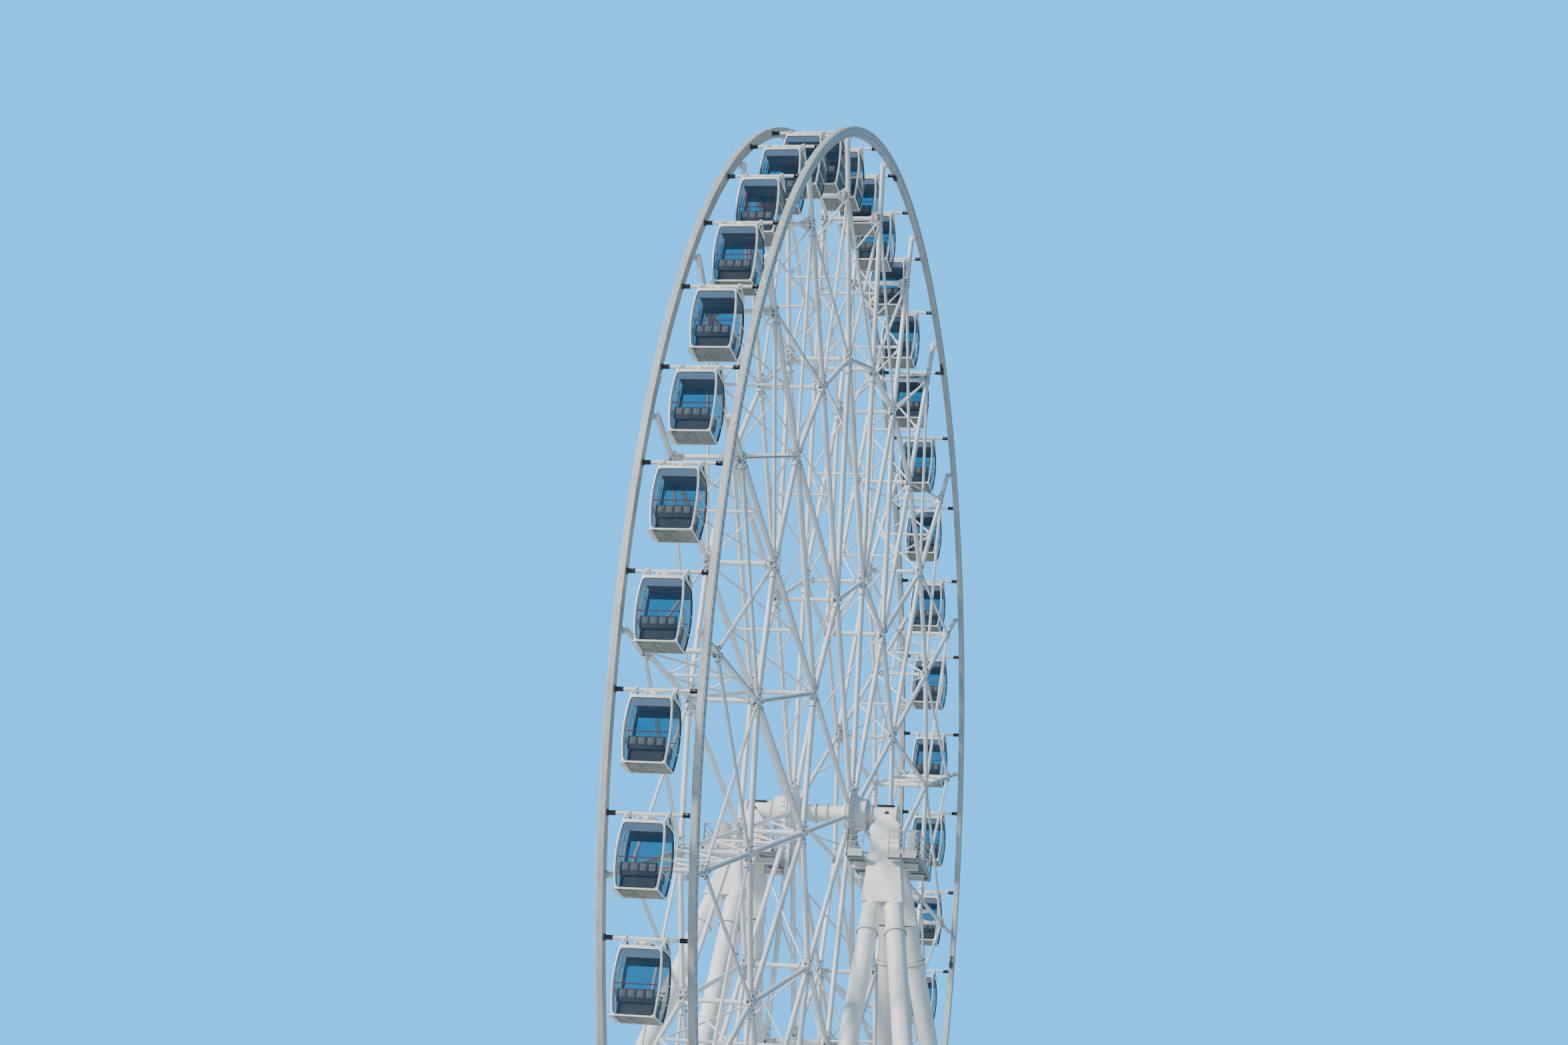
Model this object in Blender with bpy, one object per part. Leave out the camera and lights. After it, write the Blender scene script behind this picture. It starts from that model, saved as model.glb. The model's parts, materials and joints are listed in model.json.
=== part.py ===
"""Giant observation wheel, a 1:2 scale model about 30 m high.

World frame: +Z up, the axle along Y, the wheel turning in the XZ plane.
The origin lies on the ground, midway between the towers and below the hub.
"""
import math

import bmesh
import bpy
from mathutils import Matrix, Vector

# Driving dimensions, metres at 1:2 scale
RADIUS = 13.7            # circle of the cabin shafts
HUB_HEIGHT = 16.2
CABIN_COUNT = 44
SPOKE_COUNT = CABIN_COUNT // 2
SEAT = 0.0003            # gap between pieces that touch
OVERLAP = 0.02           # depth by which fused pieces reach into each other
SIDES = (("left", -1), ("right", 1))
SMOOTH_ANGLE = math.radians(40)

# Rims
RIM_INNER_FACE = 0.689   # from the wheel's mid plane
RIM_WIDTH = 0.104
RIM_DEPTH = 0.206
RIM_SEGMENTS = 66
LUG_OUTER_END = 13.65    # each rim's lugs reach in to the spokes' ends
LUG_SIZE = 0.070

# Spoke webs
WEB_OFFSET = 0.603       # from the wheel's mid plane
INNER_RING = 4.77
OUTER_RING = 9.22
HEAD_RING = 12.45        # crossbars just inside the cabins
SPOKE_END = 13.66
CHORD_WIDTH = 0.092
DIAGONAL_WIDTH = 0.052
CROSSBAR_R = 0.045
CROSSBAR_SIDES = 4

# Hub and axle
HUB_END_RADIUS = 0.55    # where the spokes end on the hub's flanges
HUB_CORE_R = 0.167
HUB_CORE_SIDES = 12
HUB_FLANGE_THICKNESS = 0.10
DRUM_R = 0.333
DRUM_OUTER = 0.952       # drum's outer face, from the mid plane
DRUM_BORE_R = 0.184
DRUM_BORE_DEPTH = 0.25
AXLE_R = 0.180
AXLE_END = 1.60
AXLE_SIDES = 24

# Towers; drops are measured down from the hub
SADDLE_INNER = 1.10
SADDLE_OUTER = 1.70
SADDLE_HALF_X = 0.36
SADDLE_TOP_HALF_X = 0.19
SADDLE_TOP_RISE = 0.01
SADDLE_TOP_INSET = 0.24
NECK_TOP_DROP = 0.27
NECK_DROP = 0.58
LIMB_TOP_DROP = 0.56      # bolted joint between the head and the limbs
LIMB_DROP = 2.05         # where each limb splits into two legs
LEG_R = 0.190
LEG_SIDES = 10
LIMB_COLLAR = 0.004      # how far a limb stands out round its legs
LEG_TOP_X = 0.95
INNER_LEG_TOP_Y = 1.378
OUTER_LEG_TOP_Y = 1.80
LEG_FOOT_X = 7.0
INNER_LEG_FOOT_Y = 1.42
OUTER_LEG_FOOT_Y = 4.75
LEG_FLANGE_DROP = 2.70
LEG_FLANGE_R = 0.222
LEG_FLANGE_THICKNESS = 0.06
FOOT_PLATE_HALF = 0.45
FOOT_PLATE_THICKNESS = 0.08

# Service decks inside and outside each tower's head
DECK_DROP = 1.01
DECK_THICKNESS = 0.08
DECK_HALF_X = 0.89
INNER_DECK = (0.74, 1.08)
OUTER_DECK = (1.57, 2.19)
NOTCH_Y = 1.85           # the outer deck is notched round the limbs
NOTCH_HALF_X = 0.70
BEAM_X = 0.40
BEAM_HALF_WIDTH = 0.04
BEAM_DEPTH = 0.12
BEAM_END_INSET = 0.06
RAIL_DROP = 0.53
RAIL_SIZE = 0.03

# Cabin, measured down from its shaft
SHAFT_R = 0.030
SHAFT_SIDES = 6
ROOF_TOP = 0.220
ROOF_BOTTOM = 0.270
FLOOR_TOP = 1.200
FLOOR_BOTTOM = 1.290
CABIN_HALF_Y = 0.377
CABIN_END_HALF_X = 0.308
CABIN_MID_HALF_X = 0.363
CABIN_MID_DROP = 0.72
POST = 0.045
HANGER_Y = 0.290
HANGER_THICKNESS = 0.040
HANGER_FOOT_HALF_X = 0.190
HANGER_TOP_HALF_X = 0.013
BENCH_BACK_X = 0.270
BENCH_DEPTH = 0.150
BENCH_HEIGHT = 0.210
BENCH_HALF_Y = 0.310
CUT_MARGIN = 0.1         # how far a cutter runs out of the solid that it cuts


def clear_scene():
    """Removes the objects that a new file starts with."""
    for obj in list(bpy.data.objects):
        bpy.data.objects.remove(obj, do_unlink=True)


def make_material(name, colour, roughness, metallic):
    """Returns a Principled material of one colour."""
    material = bpy.data.materials.new(name)
    material.use_nodes = True
    shader = material.node_tree.nodes["Principled BSDF"]
    shader.inputs["Base Color"].default_value = (*colour, 1.0)
    shader.inputs["Roughness"].default_value = roughness
    shader.inputs["Metallic"].default_value = metallic
    return material


def add_object(name, mesh_bmesh, material):
    """Links a bmesh as a named object and frees the bmesh."""
    bmesh.ops.recalc_face_normals(mesh_bmesh, faces=mesh_bmesh.faces)
    mesh = bpy.data.meshes.new(name)
    mesh_bmesh.to_mesh(mesh)
    mesh_bmesh.free()
    obj = bpy.data.objects.new(name, mesh)
    obj.data.materials.append(material)
    bpy.context.scene.collection.objects.link(obj)
    return obj


def shade(mesh):
    """Shades the round faces smooth and keeps the corners sharp."""
    mesh.shade_smooth()
    mesh.set_sharp_from_angle(angle=SMOOTH_ANGLE)


def prism(target, sides, radius_a, radius_b, start, end, roll=0.0):
    """Adds a closed straight tube from start to end; flats or corners are set by roll."""
    start = Vector(start)
    end = Vector(end)
    axis = end - start
    turn = axis.to_track_quat("Z", "Y").to_matrix().to_4x4()
    place = Matrix.Translation((start + end) / 2) @ turn @ Matrix.Rotation(roll, 4, "Z")
    bmesh.ops.create_cone(
        target, cap_ends=True, segments=sides, radius1=radius_a, radius2=radius_b,
        depth=axis.length, matrix=place,
    )


def box(target, low, high):
    """Adds a box between two opposite corners."""
    low = Vector(low)
    high = Vector(high)
    size = Matrix.Diagonal((*(high - low), 1.0))
    bmesh.ops.create_cube(target, size=1.0, matrix=Matrix.Translation((low + high) / 2) @ size)


def hull(target, points):
    """Adds the convex hull of the points."""
    verts = [target.verts.new(point) for point in points]
    result = bmesh.ops.convex_hull(target, input=verts)
    leftover = {item for item in result["geom_interior"] if isinstance(item, bmesh.types.BMVert)}
    leftover |= {item for item in result["geom_unused"] if isinstance(item, bmesh.types.BMVert)}
    bmesh.ops.delete(target, geom=list(leftover), context="VERTS")


def fuse(name, pieces, material):
    """Unites overlapping closed pieces into one solid object with an exact union."""
    base = add_object(name, pieces[0], material)
    group = bpy.data.collections.new(name + "_pieces")
    bpy.context.scene.collection.children.link(group)
    for index, shape in enumerate(pieces[1:]):
        part = add_object(f"{name}_piece_{index}", shape, material)
        bpy.context.scene.collection.objects.unlink(part)
        group.objects.link(part)
    union = base.modifiers.new("union", "BOOLEAN")
    union.operation = "UNION"
    union.operand_type = "COLLECTION"
    union.collection = group
    union.solver = "EXACT"
    evaluated = base.evaluated_get(bpy.context.evaluated_depsgraph_get())
    united = bmesh.new()
    united.from_mesh(evaluated.to_mesh())
    evaluated.to_mesh_clear()
    bmesh.ops.remove_doubles(united, verts=united.verts, dist=0.0001)
    bmesh.ops.dissolve_limit(
        united, angle_limit=math.radians(0.5), verts=united.verts, edges=united.edges
    )
    bmesh.ops.triangulate(united, faces=united.faces)
    base.modifiers.clear()
    united.to_mesh(base.data)
    united.free()
    for part in list(group.objects):
        bpy.data.objects.remove(part, do_unlink=True)
    bpy.data.collections.remove(group)
    shade(base.data)
    return base


def piece(maker, *args, **kwargs):
    """Returns a new bmesh that one of the shape makers has filled."""
    shape = bmesh.new()
    maker(shape, *args, **kwargs)
    return shape


def on_wheel(radius, step, side_y):
    """Returns a point about the hub, a number of cabin steps round from the top."""
    angle = step * 2 * math.pi / CABIN_COUNT
    return Vector((radius * math.sin(angle), side_y, radius * math.cos(angle)))


def spoke_step(index):
    """Returns the cabin step of a spoke, which stands midway between two cabins."""
    return 0.5 + 2 * index


def has_inner_node(index):
    """Every second spoke runs on through an inner ring node to the hub."""
    return index % 2 == 1


def ring(target, radius_in, radius_out, y_low, y_high, segments):
    """Adds a ring of rectangular section round the axle."""
    loops = []
    for radius, side_y in (
        (radius_in, y_low), (radius_out, y_low), (radius_out, y_high), (radius_in, y_high)
    ):
        steps = [index * CABIN_COUNT / segments for index in range(segments)]
        loops.append([target.verts.new(on_wheel(radius, step, side_y)) for step in steps])
    for corner in range(4):
        loop_a = loops[corner]
        loop_b = loops[(corner + 1) % 4]
        for index in range(segments):
            after = (index + 1) % segments
            target.faces.new((loop_a[index], loop_a[after], loop_b[after], loop_b[index]))


def make_rim(name, side, paint):
    """One of the two rims that carry the cabins' shafts, with its lugs for the spokes."""
    faces = sorted((side * RIM_INNER_FACE, side * (RIM_INNER_FACE + RIM_WIDTH)))
    pieces = [piece(
        ring, RADIUS - RIM_DEPTH / 2, RADIUS + RIM_DEPTH / 2, faces[0], faces[1], RIM_SEGMENTS
    )]
    lug_faces = sorted((
        side * (WEB_OFFSET + CHORD_WIDTH / 2 + SEAT), side * (RIM_INNER_FACE + OVERLAP)
    ))
    for index in range(SPOKE_COUNT):
        step = spoke_step(index)
        pieces.append(piece(
            flat_bar, on_wheel(LUG_OUTER_END - LUG_SIZE, step, 0),
            on_wheel(LUG_OUTER_END, step, 0), LUG_SIZE, *lug_faces,
        ))
    return fuse(name, pieces, paint)


def flat_bar(target, start, end, width, y_low, y_high):
    """Adds a bar in the wheel's plane, square at both ends, between two Y faces."""
    along = (end - start).normalized()
    across = Vector((along.z, 0, -along.x)) * width / 2
    outline = [start + across, end + across, end - across, start - across]
    loops = []
    for face_y in (y_low, y_high):
        loops.append([target.verts.new((point.x, face_y, point.z)) for point in outline])
    for index in range(4):
        after = (index + 1) % 4
        target.faces.new((loops[0][index], loops[0][after], loops[1][after], loops[1][index]))
    target.faces.new(loops[0])
    target.faces.new(loops[1])


def web_bars():
    """Lists the bars of a spoke web as (width, start, end), in the wheel's mid plane."""
    bars = []
    for index in range(SPOKE_COUNT):
        step = spoke_step(index)
        outer = on_wheel(OUTER_RING, step, 0)
        next_outer = on_wheel(OUTER_RING, step + 2, 0)
        last_outer = on_wheel(OUTER_RING, step - 2, 0)
        head = on_wheel(HEAD_RING, step, 0)
        end = on_wheel(SPOKE_END, step, 0)
        bars.append((CHORD_WIDTH, outer, next_outer))
        bars.append((DIAGONAL_WIDTH, head, next_outer))
        bars.append((DIAGONAL_WIDTH, head, last_outer))
        if has_inner_node(index):
            inner = on_wheel(INNER_RING, step, 0)
            bars.append((CHORD_WIDTH, on_wheel(HUB_END_RADIUS + SEAT, step, 0), end))
            bars.append((CHORD_WIDTH, inner, on_wheel(INNER_RING, step + 4, 0)))
            bars.append((CHORD_WIDTH, inner, next_outer))
            bars.append((CHORD_WIDTH, inner, last_outer))
        else:
            bars.append((CHORD_WIDTH, outer, end))
    return bars


def make_web(name, side, paint):
    """One flat web of spokes; the left one carries the crossbars between the two."""
    side_y = side * WEB_OFFSET
    faces = (side_y - CHORD_WIDTH / 2, side_y + CHORD_WIDTH / 2)
    pieces = [piece(flat_bar, start, end, width, *faces) for width, start, end in web_bars()]
    if side < 0:
        pieces += crossbars()
    return fuse(name, pieces, paint)


def crossbars():
    """The tubes between the two webs, which end just short of the right web."""
    pieces = []
    for index in range(SPOKE_COUNT):
        step = spoke_step(index)
        rings = [OUTER_RING, HEAD_RING]
        if has_inner_node(index):
            rings.append(INNER_RING)
        for radius in rings:
            start = on_wheel(radius, step, -WEB_OFFSET)
            end = on_wheel(radius, step, WEB_OFFSET - CHORD_WIDTH / 2 - SEAT)
            pieces.append(piece(prism, CROSSBAR_SIDES, CROSSBAR_R, CROSSBAR_R, start, end))
    return pieces


def hub_flange(target, side):
    """Adds the many-sided disc with one flat face for each spoke."""
    corner_r = HUB_END_RADIUS / math.cos(math.pi / SPOKE_COUNT)
    loops = []
    for offset in (-HUB_FLANGE_THICKNESS / 2, HUB_FLANGE_THICKNESS / 2):
        side_y = side * WEB_OFFSET + offset
        steps = [spoke_step(index) + 1 for index in range(SPOKE_COUNT)]
        loops.append([target.verts.new(on_wheel(corner_r, step, side_y)) for step in steps])
    for index in range(SPOKE_COUNT):
        after = (index + 1) % SPOKE_COUNT
        target.faces.new((loops[0][index], loops[0][after], loops[1][after], loops[1][index]))
    target.faces.new(loops[0])
    target.faces.new(loops[1])


def make_hub(paint):
    """The turning hub: core tube, two spoke flanges and two bearing drums with their bores."""
    pieces = [piece(
        prism, HUB_CORE_SIDES, HUB_CORE_R, HUB_CORE_R, on_wheel(0, 0, -WEB_OFFSET),
        on_wheel(0, 0, WEB_OFFSET),
    )]
    for _, side in SIDES:
        pieces.append(piece(hub_flange, side))
        pieces.append(piece(
            prism, AXLE_SIDES, DRUM_R, DRUM_R, on_wheel(0, 0, side * WEB_OFFSET),
            on_wheel(0, 0, side * DRUM_OUTER),
        ))
    hub = fuse("hub", pieces, paint)
    for side_name, side in SIDES:
        cutter = add_object(f"bore_cutter_{side_name}", piece(
            prism, AXLE_SIDES, DRUM_BORE_R, DRUM_BORE_R,
            on_wheel(0, 0, side * (DRUM_OUTER - DRUM_BORE_DEPTH)),
            on_wheel(0, 0, side * (DRUM_OUTER + CUT_MARGIN)),
        ), paint)
        cutter.hide_render = True
        cutter.display_type = "WIRE"
        cutter.parent = hub
        cut = hub.modifiers.new(f"bore_{side_name}", "BOOLEAN")
        cut.operation = "DIFFERENCE"
        cut.solver = "EXACT"
        cut.object = cutter
    return hub


def circle_points(centre, axis, radius, sides):
    """Returns points on a circle round an axis."""
    turn = axis.to_track_quat("Z", "Y").to_matrix()
    points = []
    for index in range(sides):
        angle = 2 * math.pi * index / sides
        points.append(centre + turn @ Vector((radius * math.cos(angle), radius * math.sin(angle), 0)))
    return points


def saddle_points(side):
    """Lists the corners of the head block that holds the axle."""
    points = []
    for half_x, drop, inset in (
        (SADDLE_TOP_HALF_X, -SADDLE_TOP_RISE, SADDLE_TOP_INSET),
        (SADDLE_HALF_X, NECK_TOP_DROP, 0),
        (SADDLE_HALF_X, NECK_DROP, 0),
    ):
        for end_x in (-half_x, half_x):
            for reach_y in (SADDLE_INNER + inset, SADDLE_OUTER - inset):
                points.append(Vector((end_x, side * reach_y, HUB_HEIGHT - drop)))
    return points


def make_tower(name, side, paint):
    """One tower: head, stub axle, front and rear limbs, and four legs on foot plates."""
    pieces = [piece(hull, saddle_points(side)), piece(
        prism, AXLE_SIDES, AXLE_R, AXLE_R,
        (0, side * (DRUM_OUTER - DRUM_BORE_DEPTH + SEAT), HUB_HEIGHT),
        (0, side * AXLE_END, HUB_HEIGHT),
    )]
    for end in (-1, 1):
        limb = []
        for reach_y in (SADDLE_INNER + OVERLAP, SADDLE_OUTER - OVERLAP):
            for reach_x in (OVERLAP, SADDLE_HALF_X - OVERLAP):
                limb.append(Vector((end * reach_x, side * reach_y, HUB_HEIGHT - LIMB_TOP_DROP)))
        for top_y, foot_y in (
            (INNER_LEG_TOP_Y, INNER_LEG_FOOT_Y), (OUTER_LEG_TOP_Y, OUTER_LEG_FOOT_Y)
        ):
            top = Vector((end * LEG_TOP_X, side * top_y, HUB_HEIGHT - LIMB_DROP))
            foot = Vector((end * LEG_FOOT_X, side * foot_y, 0))
            axis = (top - foot).normalized()
            limb += circle_points(top, axis, LEG_R + LIMB_COLLAR, LEG_SIDES)
            pieces += leg_pieces(top, foot, axis)
        pieces.append(piece(hull, limb))
        pieces.append(piece(deck_beam, end, side))
    tower = fuse(name, pieces, paint)
    trim_below_ground(tower)
    return tower


def leg_pieces(top, foot, axis):
    """The tube of one leg, its bolted flange near the top and its foot plate."""
    flange = top - axis * (LEG_FLANGE_DROP - LIMB_DROP) / axis.z
    half = axis * LEG_FLANGE_THICKNESS / 2
    reach = Vector((FOOT_PLATE_HALF, FOOT_PLATE_HALF, 0))
    return [
        piece(prism, LEG_SIDES, LEG_R, LEG_R, foot, top + axis * OVERLAP),
        piece(prism, LEG_SIDES, LEG_FLANGE_R, LEG_FLANGE_R, flange - half, flange + half),
        piece(box, foot - reach, foot + reach + Vector((0, 0, FOOT_PLATE_THICKNESS))),
    ]


def deck_beam(target, end, side):
    """Adds the beam through a limb that carries one end of both service decks."""
    low_y, high_y = sorted((
        side * (INNER_DECK[0] + BEAM_END_INSET), side * (OUTER_DECK[1] - BEAM_END_INSET)
    ))
    top_z = HUB_HEIGHT - DECK_DROP - DECK_THICKNESS - SEAT
    box(
        target, (end * BEAM_X - BEAM_HALF_WIDTH, low_y, top_z - BEAM_DEPTH),
        (end * BEAM_X + BEAM_HALF_WIDTH, high_y, top_z),
    )


def deck_block(side, x_pair, y_pair, z_pair):
    """Returns a block of a service deck; heights are measured down from the hub."""
    low_x, high_x = sorted(x_pair)
    low_y, high_y = sorted((side * y_pair[0], side * y_pair[1]))
    return piece(
        box, (low_x, low_y, HUB_HEIGHT - z_pair[1]), (high_x, high_y, HUB_HEIGHT - z_pair[0])
    )


def railing(side, deck, open_y):
    """The railing along a deck's two ends and the long side away from the tower."""
    middle_drop = (RAIL_DROP + DECK_DROP) / 2
    post_drops = (RAIL_DROP, DECK_DROP + DECK_THICKNESS / 2)
    far_y = deck[0] + deck[1] - open_y
    strip = (far_y, far_y + math.copysign(RAIL_SIZE, open_y - far_y))
    pieces = []
    for end in (-1, 1):
        edge = (end * (DECK_HALF_X - RAIL_SIZE), end * DECK_HALF_X)
        third = end * DECK_HALF_X / 3
        pieces.append(deck_block(side, edge, strip, post_drops))
        pieces.append(deck_block(
            side, edge, (open_y, open_y + math.copysign(RAIL_SIZE, far_y - open_y)), post_drops
        ))
        pieces.append(deck_block(side, (third, third + end * RAIL_SIZE), strip, post_drops))
        for drop in (RAIL_DROP, middle_drop):
            pieces.append(deck_block(side, edge, deck, (drop, drop + RAIL_SIZE)))
    for drop in (RAIL_DROP, middle_drop):
        pieces.append(deck_block(
            side, (-DECK_HALF_X, DECK_HALF_X), strip, (drop, drop + RAIL_SIZE)
        ))
    return pieces


def make_decks(side_name, side, paint):
    """The two service decks of one tower: one by the hub's drum and one outside."""
    floor = (DECK_DROP, DECK_DROP + DECK_THICKNESS)
    across = (-DECK_HALF_X, DECK_HALF_X)
    inner = [deck_block(side, across, INNER_DECK, floor)]
    inner += railing(side, INNER_DECK, INNER_DECK[1])
    outer = [deck_block(side, across, (NOTCH_Y, OUTER_DECK[1]), floor)]
    for end in (-1, 1):
        outer.append(deck_block(
            side, (end * NOTCH_HALF_X, end * DECK_HALF_X), OUTER_DECK, floor
        ))
    outer += railing(side, OUTER_DECK, OUTER_DECK[0])
    fuse(f"service_deck_{side_name}_inner", inner, paint)
    fuse(f"service_deck_{side_name}_outer", outer, paint)


def trim_below_ground(tower):
    """Cuts the slanted leg ends off level with the ground."""
    mesh = bmesh.new()
    mesh.from_mesh(tower.data)
    cut = bmesh.ops.bisect_plane(
        mesh, geom=mesh.verts[:] + mesh.edges[:] + mesh.faces[:], plane_co=(0, 0, 0),
        plane_no=(0, 0, 1), clear_inner=True, dist=0.00001,
    )
    rim_edges = [item for item in cut["geom_cut"] if isinstance(item, bmesh.types.BMEdge)]
    bmesh.ops.holes_fill(mesh, edges=[edge for edge in rim_edges if edge.is_boundary])
    mesh.to_mesh(tower.data)
    mesh.free()
    shade(tower.data)


def cabin_block(target, inset, half_y, roof_z, floor_z):
    """Adds a barrel-sided block of the cabin's side outline, drawn in by inset."""
    end_x = CABIN_END_HALF_X - inset
    mid_x = CABIN_MID_HALF_X - inset
    rows = [(end_x, roof_z), (mid_x, -CABIN_MID_DROP), (end_x, floor_z)]
    outline = rows + [(-x, z) for x, z in reversed(rows)]
    loops = []
    for side_y in (-half_y, half_y):
        loops.append([target.verts.new((x, side_y, z)) for x, z in outline])
    for index in range(6):
        after = (index + 1) % 6
        target.faces.new((loops[0][index], loops[0][after], loops[1][after], loops[1][index]))
    target.faces.new(loops[0])
    target.faces.new(loops[1])


def cut_out(obj, cutter):
    """Subtracts a closed bmesh from an object and keeps the result as its mesh."""
    tool = add_object("cutter", cutter, obj.data.materials[0])
    cut = obj.modifiers.new("cut", "BOOLEAN")
    cut.operation = "DIFFERENCE"
    cut.solver = "EXACT"
    cut.object = tool
    evaluated = obj.evaluated_get(bpy.context.evaluated_depsgraph_get())
    result = bmesh.new()
    result.from_mesh(evaluated.to_mesh())
    evaluated.to_mesh_clear()
    obj.modifiers.clear()
    result.to_mesh(obj.data)
    result.free()
    bpy.data.objects.remove(tool, do_unlink=True)


def hanger(target, side_y):
    """Adds one bracket, which tapers from the roof up round the shaft."""
    low = side_y - HANGER_THICKNESS / 2
    high = low + HANGER_THICKNESS
    points = []
    for face_y in (low, high):
        for half_x, z in ((HANGER_FOOT_HALF_X, -ROOF_TOP - OVERLAP), (HANGER_TOP_HALF_X, 0)):
            points += [Vector((-half_x, face_y, z)), Vector((half_x, face_y, z))]
    hull(target, points)


def cabin_mesh(paint):
    """Builds the mesh that all cabins share, with the shaft's centre at its origin."""
    frame = add_object(
        "cabin_frame", piece(cabin_block, 0, CABIN_HALF_Y, -ROOF_TOP, -FLOOR_BOTTOM), paint
    )
    openings = ((-CUT_MARGIN, CABIN_HALF_Y - POST), (POST, CABIN_HALF_Y + CUT_MARGIN))
    for inset, half_y in openings:
        cut_out(frame, piece(cabin_block, inset, half_y, -ROOF_BOTTOM, -FLOOR_TOP))
    body = bmesh.new()
    body.from_mesh(frame.data)
    bpy.data.objects.remove(frame, do_unlink=True)
    pieces = [body, piece(
        prism, SHAFT_SIDES, SHAFT_R, SHAFT_R, (0, -RIM_INNER_FACE + SEAT, 0),
        (0, RIM_INNER_FACE - SEAT, 0), math.pi / SHAFT_SIDES,
    )]
    for side in (-1, 1):
        pieces.append(piece(hanger, side * HANGER_Y))
        seat_x = sorted((side * BENCH_BACK_X, side * (BENCH_BACK_X - BENCH_DEPTH)))
        pieces.append(piece(
            box, (seat_x[0], -BENCH_HALF_Y, -FLOOR_TOP - OVERLAP),
            (seat_x[1], BENCH_HALF_Y, -FLOOR_TOP + BENCH_HEIGHT),
        ))
    cabin = fuse("cabin_shape", pieces, paint)
    mesh = cabin.data
    bpy.data.objects.remove(cabin, do_unlink=True)
    return mesh


def make_cabins(paint):
    """Hangs the cabins on their shafts; each object's origin is its joint's axis."""
    mesh = cabin_mesh(paint)
    cabins = []
    for index in range(CABIN_COUNT):
        cabin = bpy.data.objects.new(f"cabin_{index + 1:02d}", mesh)
        cabin.location = on_wheel(RADIUS, index, 0)
        bpy.context.scene.collection.objects.link(cabin)
        cabins.append(cabin)
    return cabins


def main():
    """Builds the whole wheel; all that turns hangs on an empty at the axle."""
    clear_scene()
    tower_paint = make_material("tower_paint", (0.80, 0.81, 0.80), 0.40, 0.0)
    web_paint = make_material("web_paint", (0.76, 0.77, 0.76), 0.45, 0.0)
    hub_paint = make_material("hub_paint", (0.72, 0.73, 0.72), 0.45, 0.0)
    rim_zinc = make_material("rim_zinc", (0.58, 0.57, 0.52), 0.55, 0.5)
    deck_zinc = make_material("deck_zinc", (0.55, 0.56, 0.56), 0.60, 0.5)
    cabin_paint = make_material("cabin_paint", (0.74, 0.74, 0.70), 0.40, 0.0)

    axle = bpy.data.objects.new("wheel_axis", None)
    axle.location = (0, 0, HUB_HEIGHT)
    bpy.context.scene.collection.objects.link(axle)

    turning = [make_hub(hub_paint)]
    for side_name, side in SIDES:
        make_tower(f"tower_{side_name}", side, tower_paint)
        make_decks(side_name, side, deck_zinc)
        turning.append(make_web(f"spoke_web_{side_name}", side, web_paint))
        turning.append(make_rim(f"rim_{side_name}", side, rim_zinc))
    turning += make_cabins(cabin_paint)
    for obj in turning:
        obj.parent = axle


main()
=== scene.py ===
"""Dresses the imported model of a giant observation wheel, a 1:2 scale model.

World frame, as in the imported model: +Z up, the axle along Y, the origin on the
ground below the hub. All sizes are metres. Parts of the wheel are placed by a
radius about the hub and a number of cabin steps round from the top.
"""
from __future__ import annotations

import json
import logging
import math
from dataclasses import dataclass, field
from enum import Enum
from functools import lru_cache
from itertools import product
from typing import Iterable, Sequence

import bmesh
import bpy
from mathutils import Matrix, Vector

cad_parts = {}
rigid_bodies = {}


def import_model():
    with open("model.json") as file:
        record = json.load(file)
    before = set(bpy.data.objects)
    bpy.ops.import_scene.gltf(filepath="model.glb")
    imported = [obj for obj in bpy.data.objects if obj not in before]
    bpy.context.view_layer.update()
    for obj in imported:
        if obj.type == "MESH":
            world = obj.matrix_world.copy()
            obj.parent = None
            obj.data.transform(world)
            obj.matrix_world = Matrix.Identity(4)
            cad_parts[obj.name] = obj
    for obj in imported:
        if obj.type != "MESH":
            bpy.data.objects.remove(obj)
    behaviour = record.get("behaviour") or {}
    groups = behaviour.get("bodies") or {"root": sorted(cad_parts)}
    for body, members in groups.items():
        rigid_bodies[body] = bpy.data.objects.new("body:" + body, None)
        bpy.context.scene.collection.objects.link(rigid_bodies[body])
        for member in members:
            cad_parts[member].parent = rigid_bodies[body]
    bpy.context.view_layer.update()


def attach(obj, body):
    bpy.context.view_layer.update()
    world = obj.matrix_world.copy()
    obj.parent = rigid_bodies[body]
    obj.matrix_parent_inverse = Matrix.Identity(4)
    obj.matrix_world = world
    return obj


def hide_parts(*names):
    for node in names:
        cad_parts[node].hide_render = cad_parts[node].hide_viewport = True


LOG = logging.getLogger("observation_wheel")
HUB = Vector((0.0, 0.0, 16.2))
AXLE = Vector((0.0, 1.0, 0.0))
CABINS = 44
SPOKES = 22
CABIN_CIRCLE = 13.7
SMOOTH = math.radians(38)


class Side(Enum):
    """The two sides of the wheel; the value is the sign of Y."""

    LEFT = -1
    RIGHT = 1

    @property
    def word(self) -> str:
        """The side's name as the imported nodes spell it."""
        return self.name.lower()


class Body(Enum):
    """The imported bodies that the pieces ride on, apart from the cabins."""

    TOWERS = "towers"
    WHEEL = "wheel"


def on_wheel(radius: float, step: float, side_y: float) -> Vector:
    """Finds a point on the wheel.

    Args:
        radius: distance from the axle.
        step: cabin steps round from the top.
        side_y: distance from the wheel's mid plane, signed.

    Returns:
        The point in the world.
    """
    angle = step * math.tau / CABINS
    return HUB + Vector((radius * math.sin(angle), side_y, radius * math.cos(angle)))


# ---- Finishes


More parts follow.
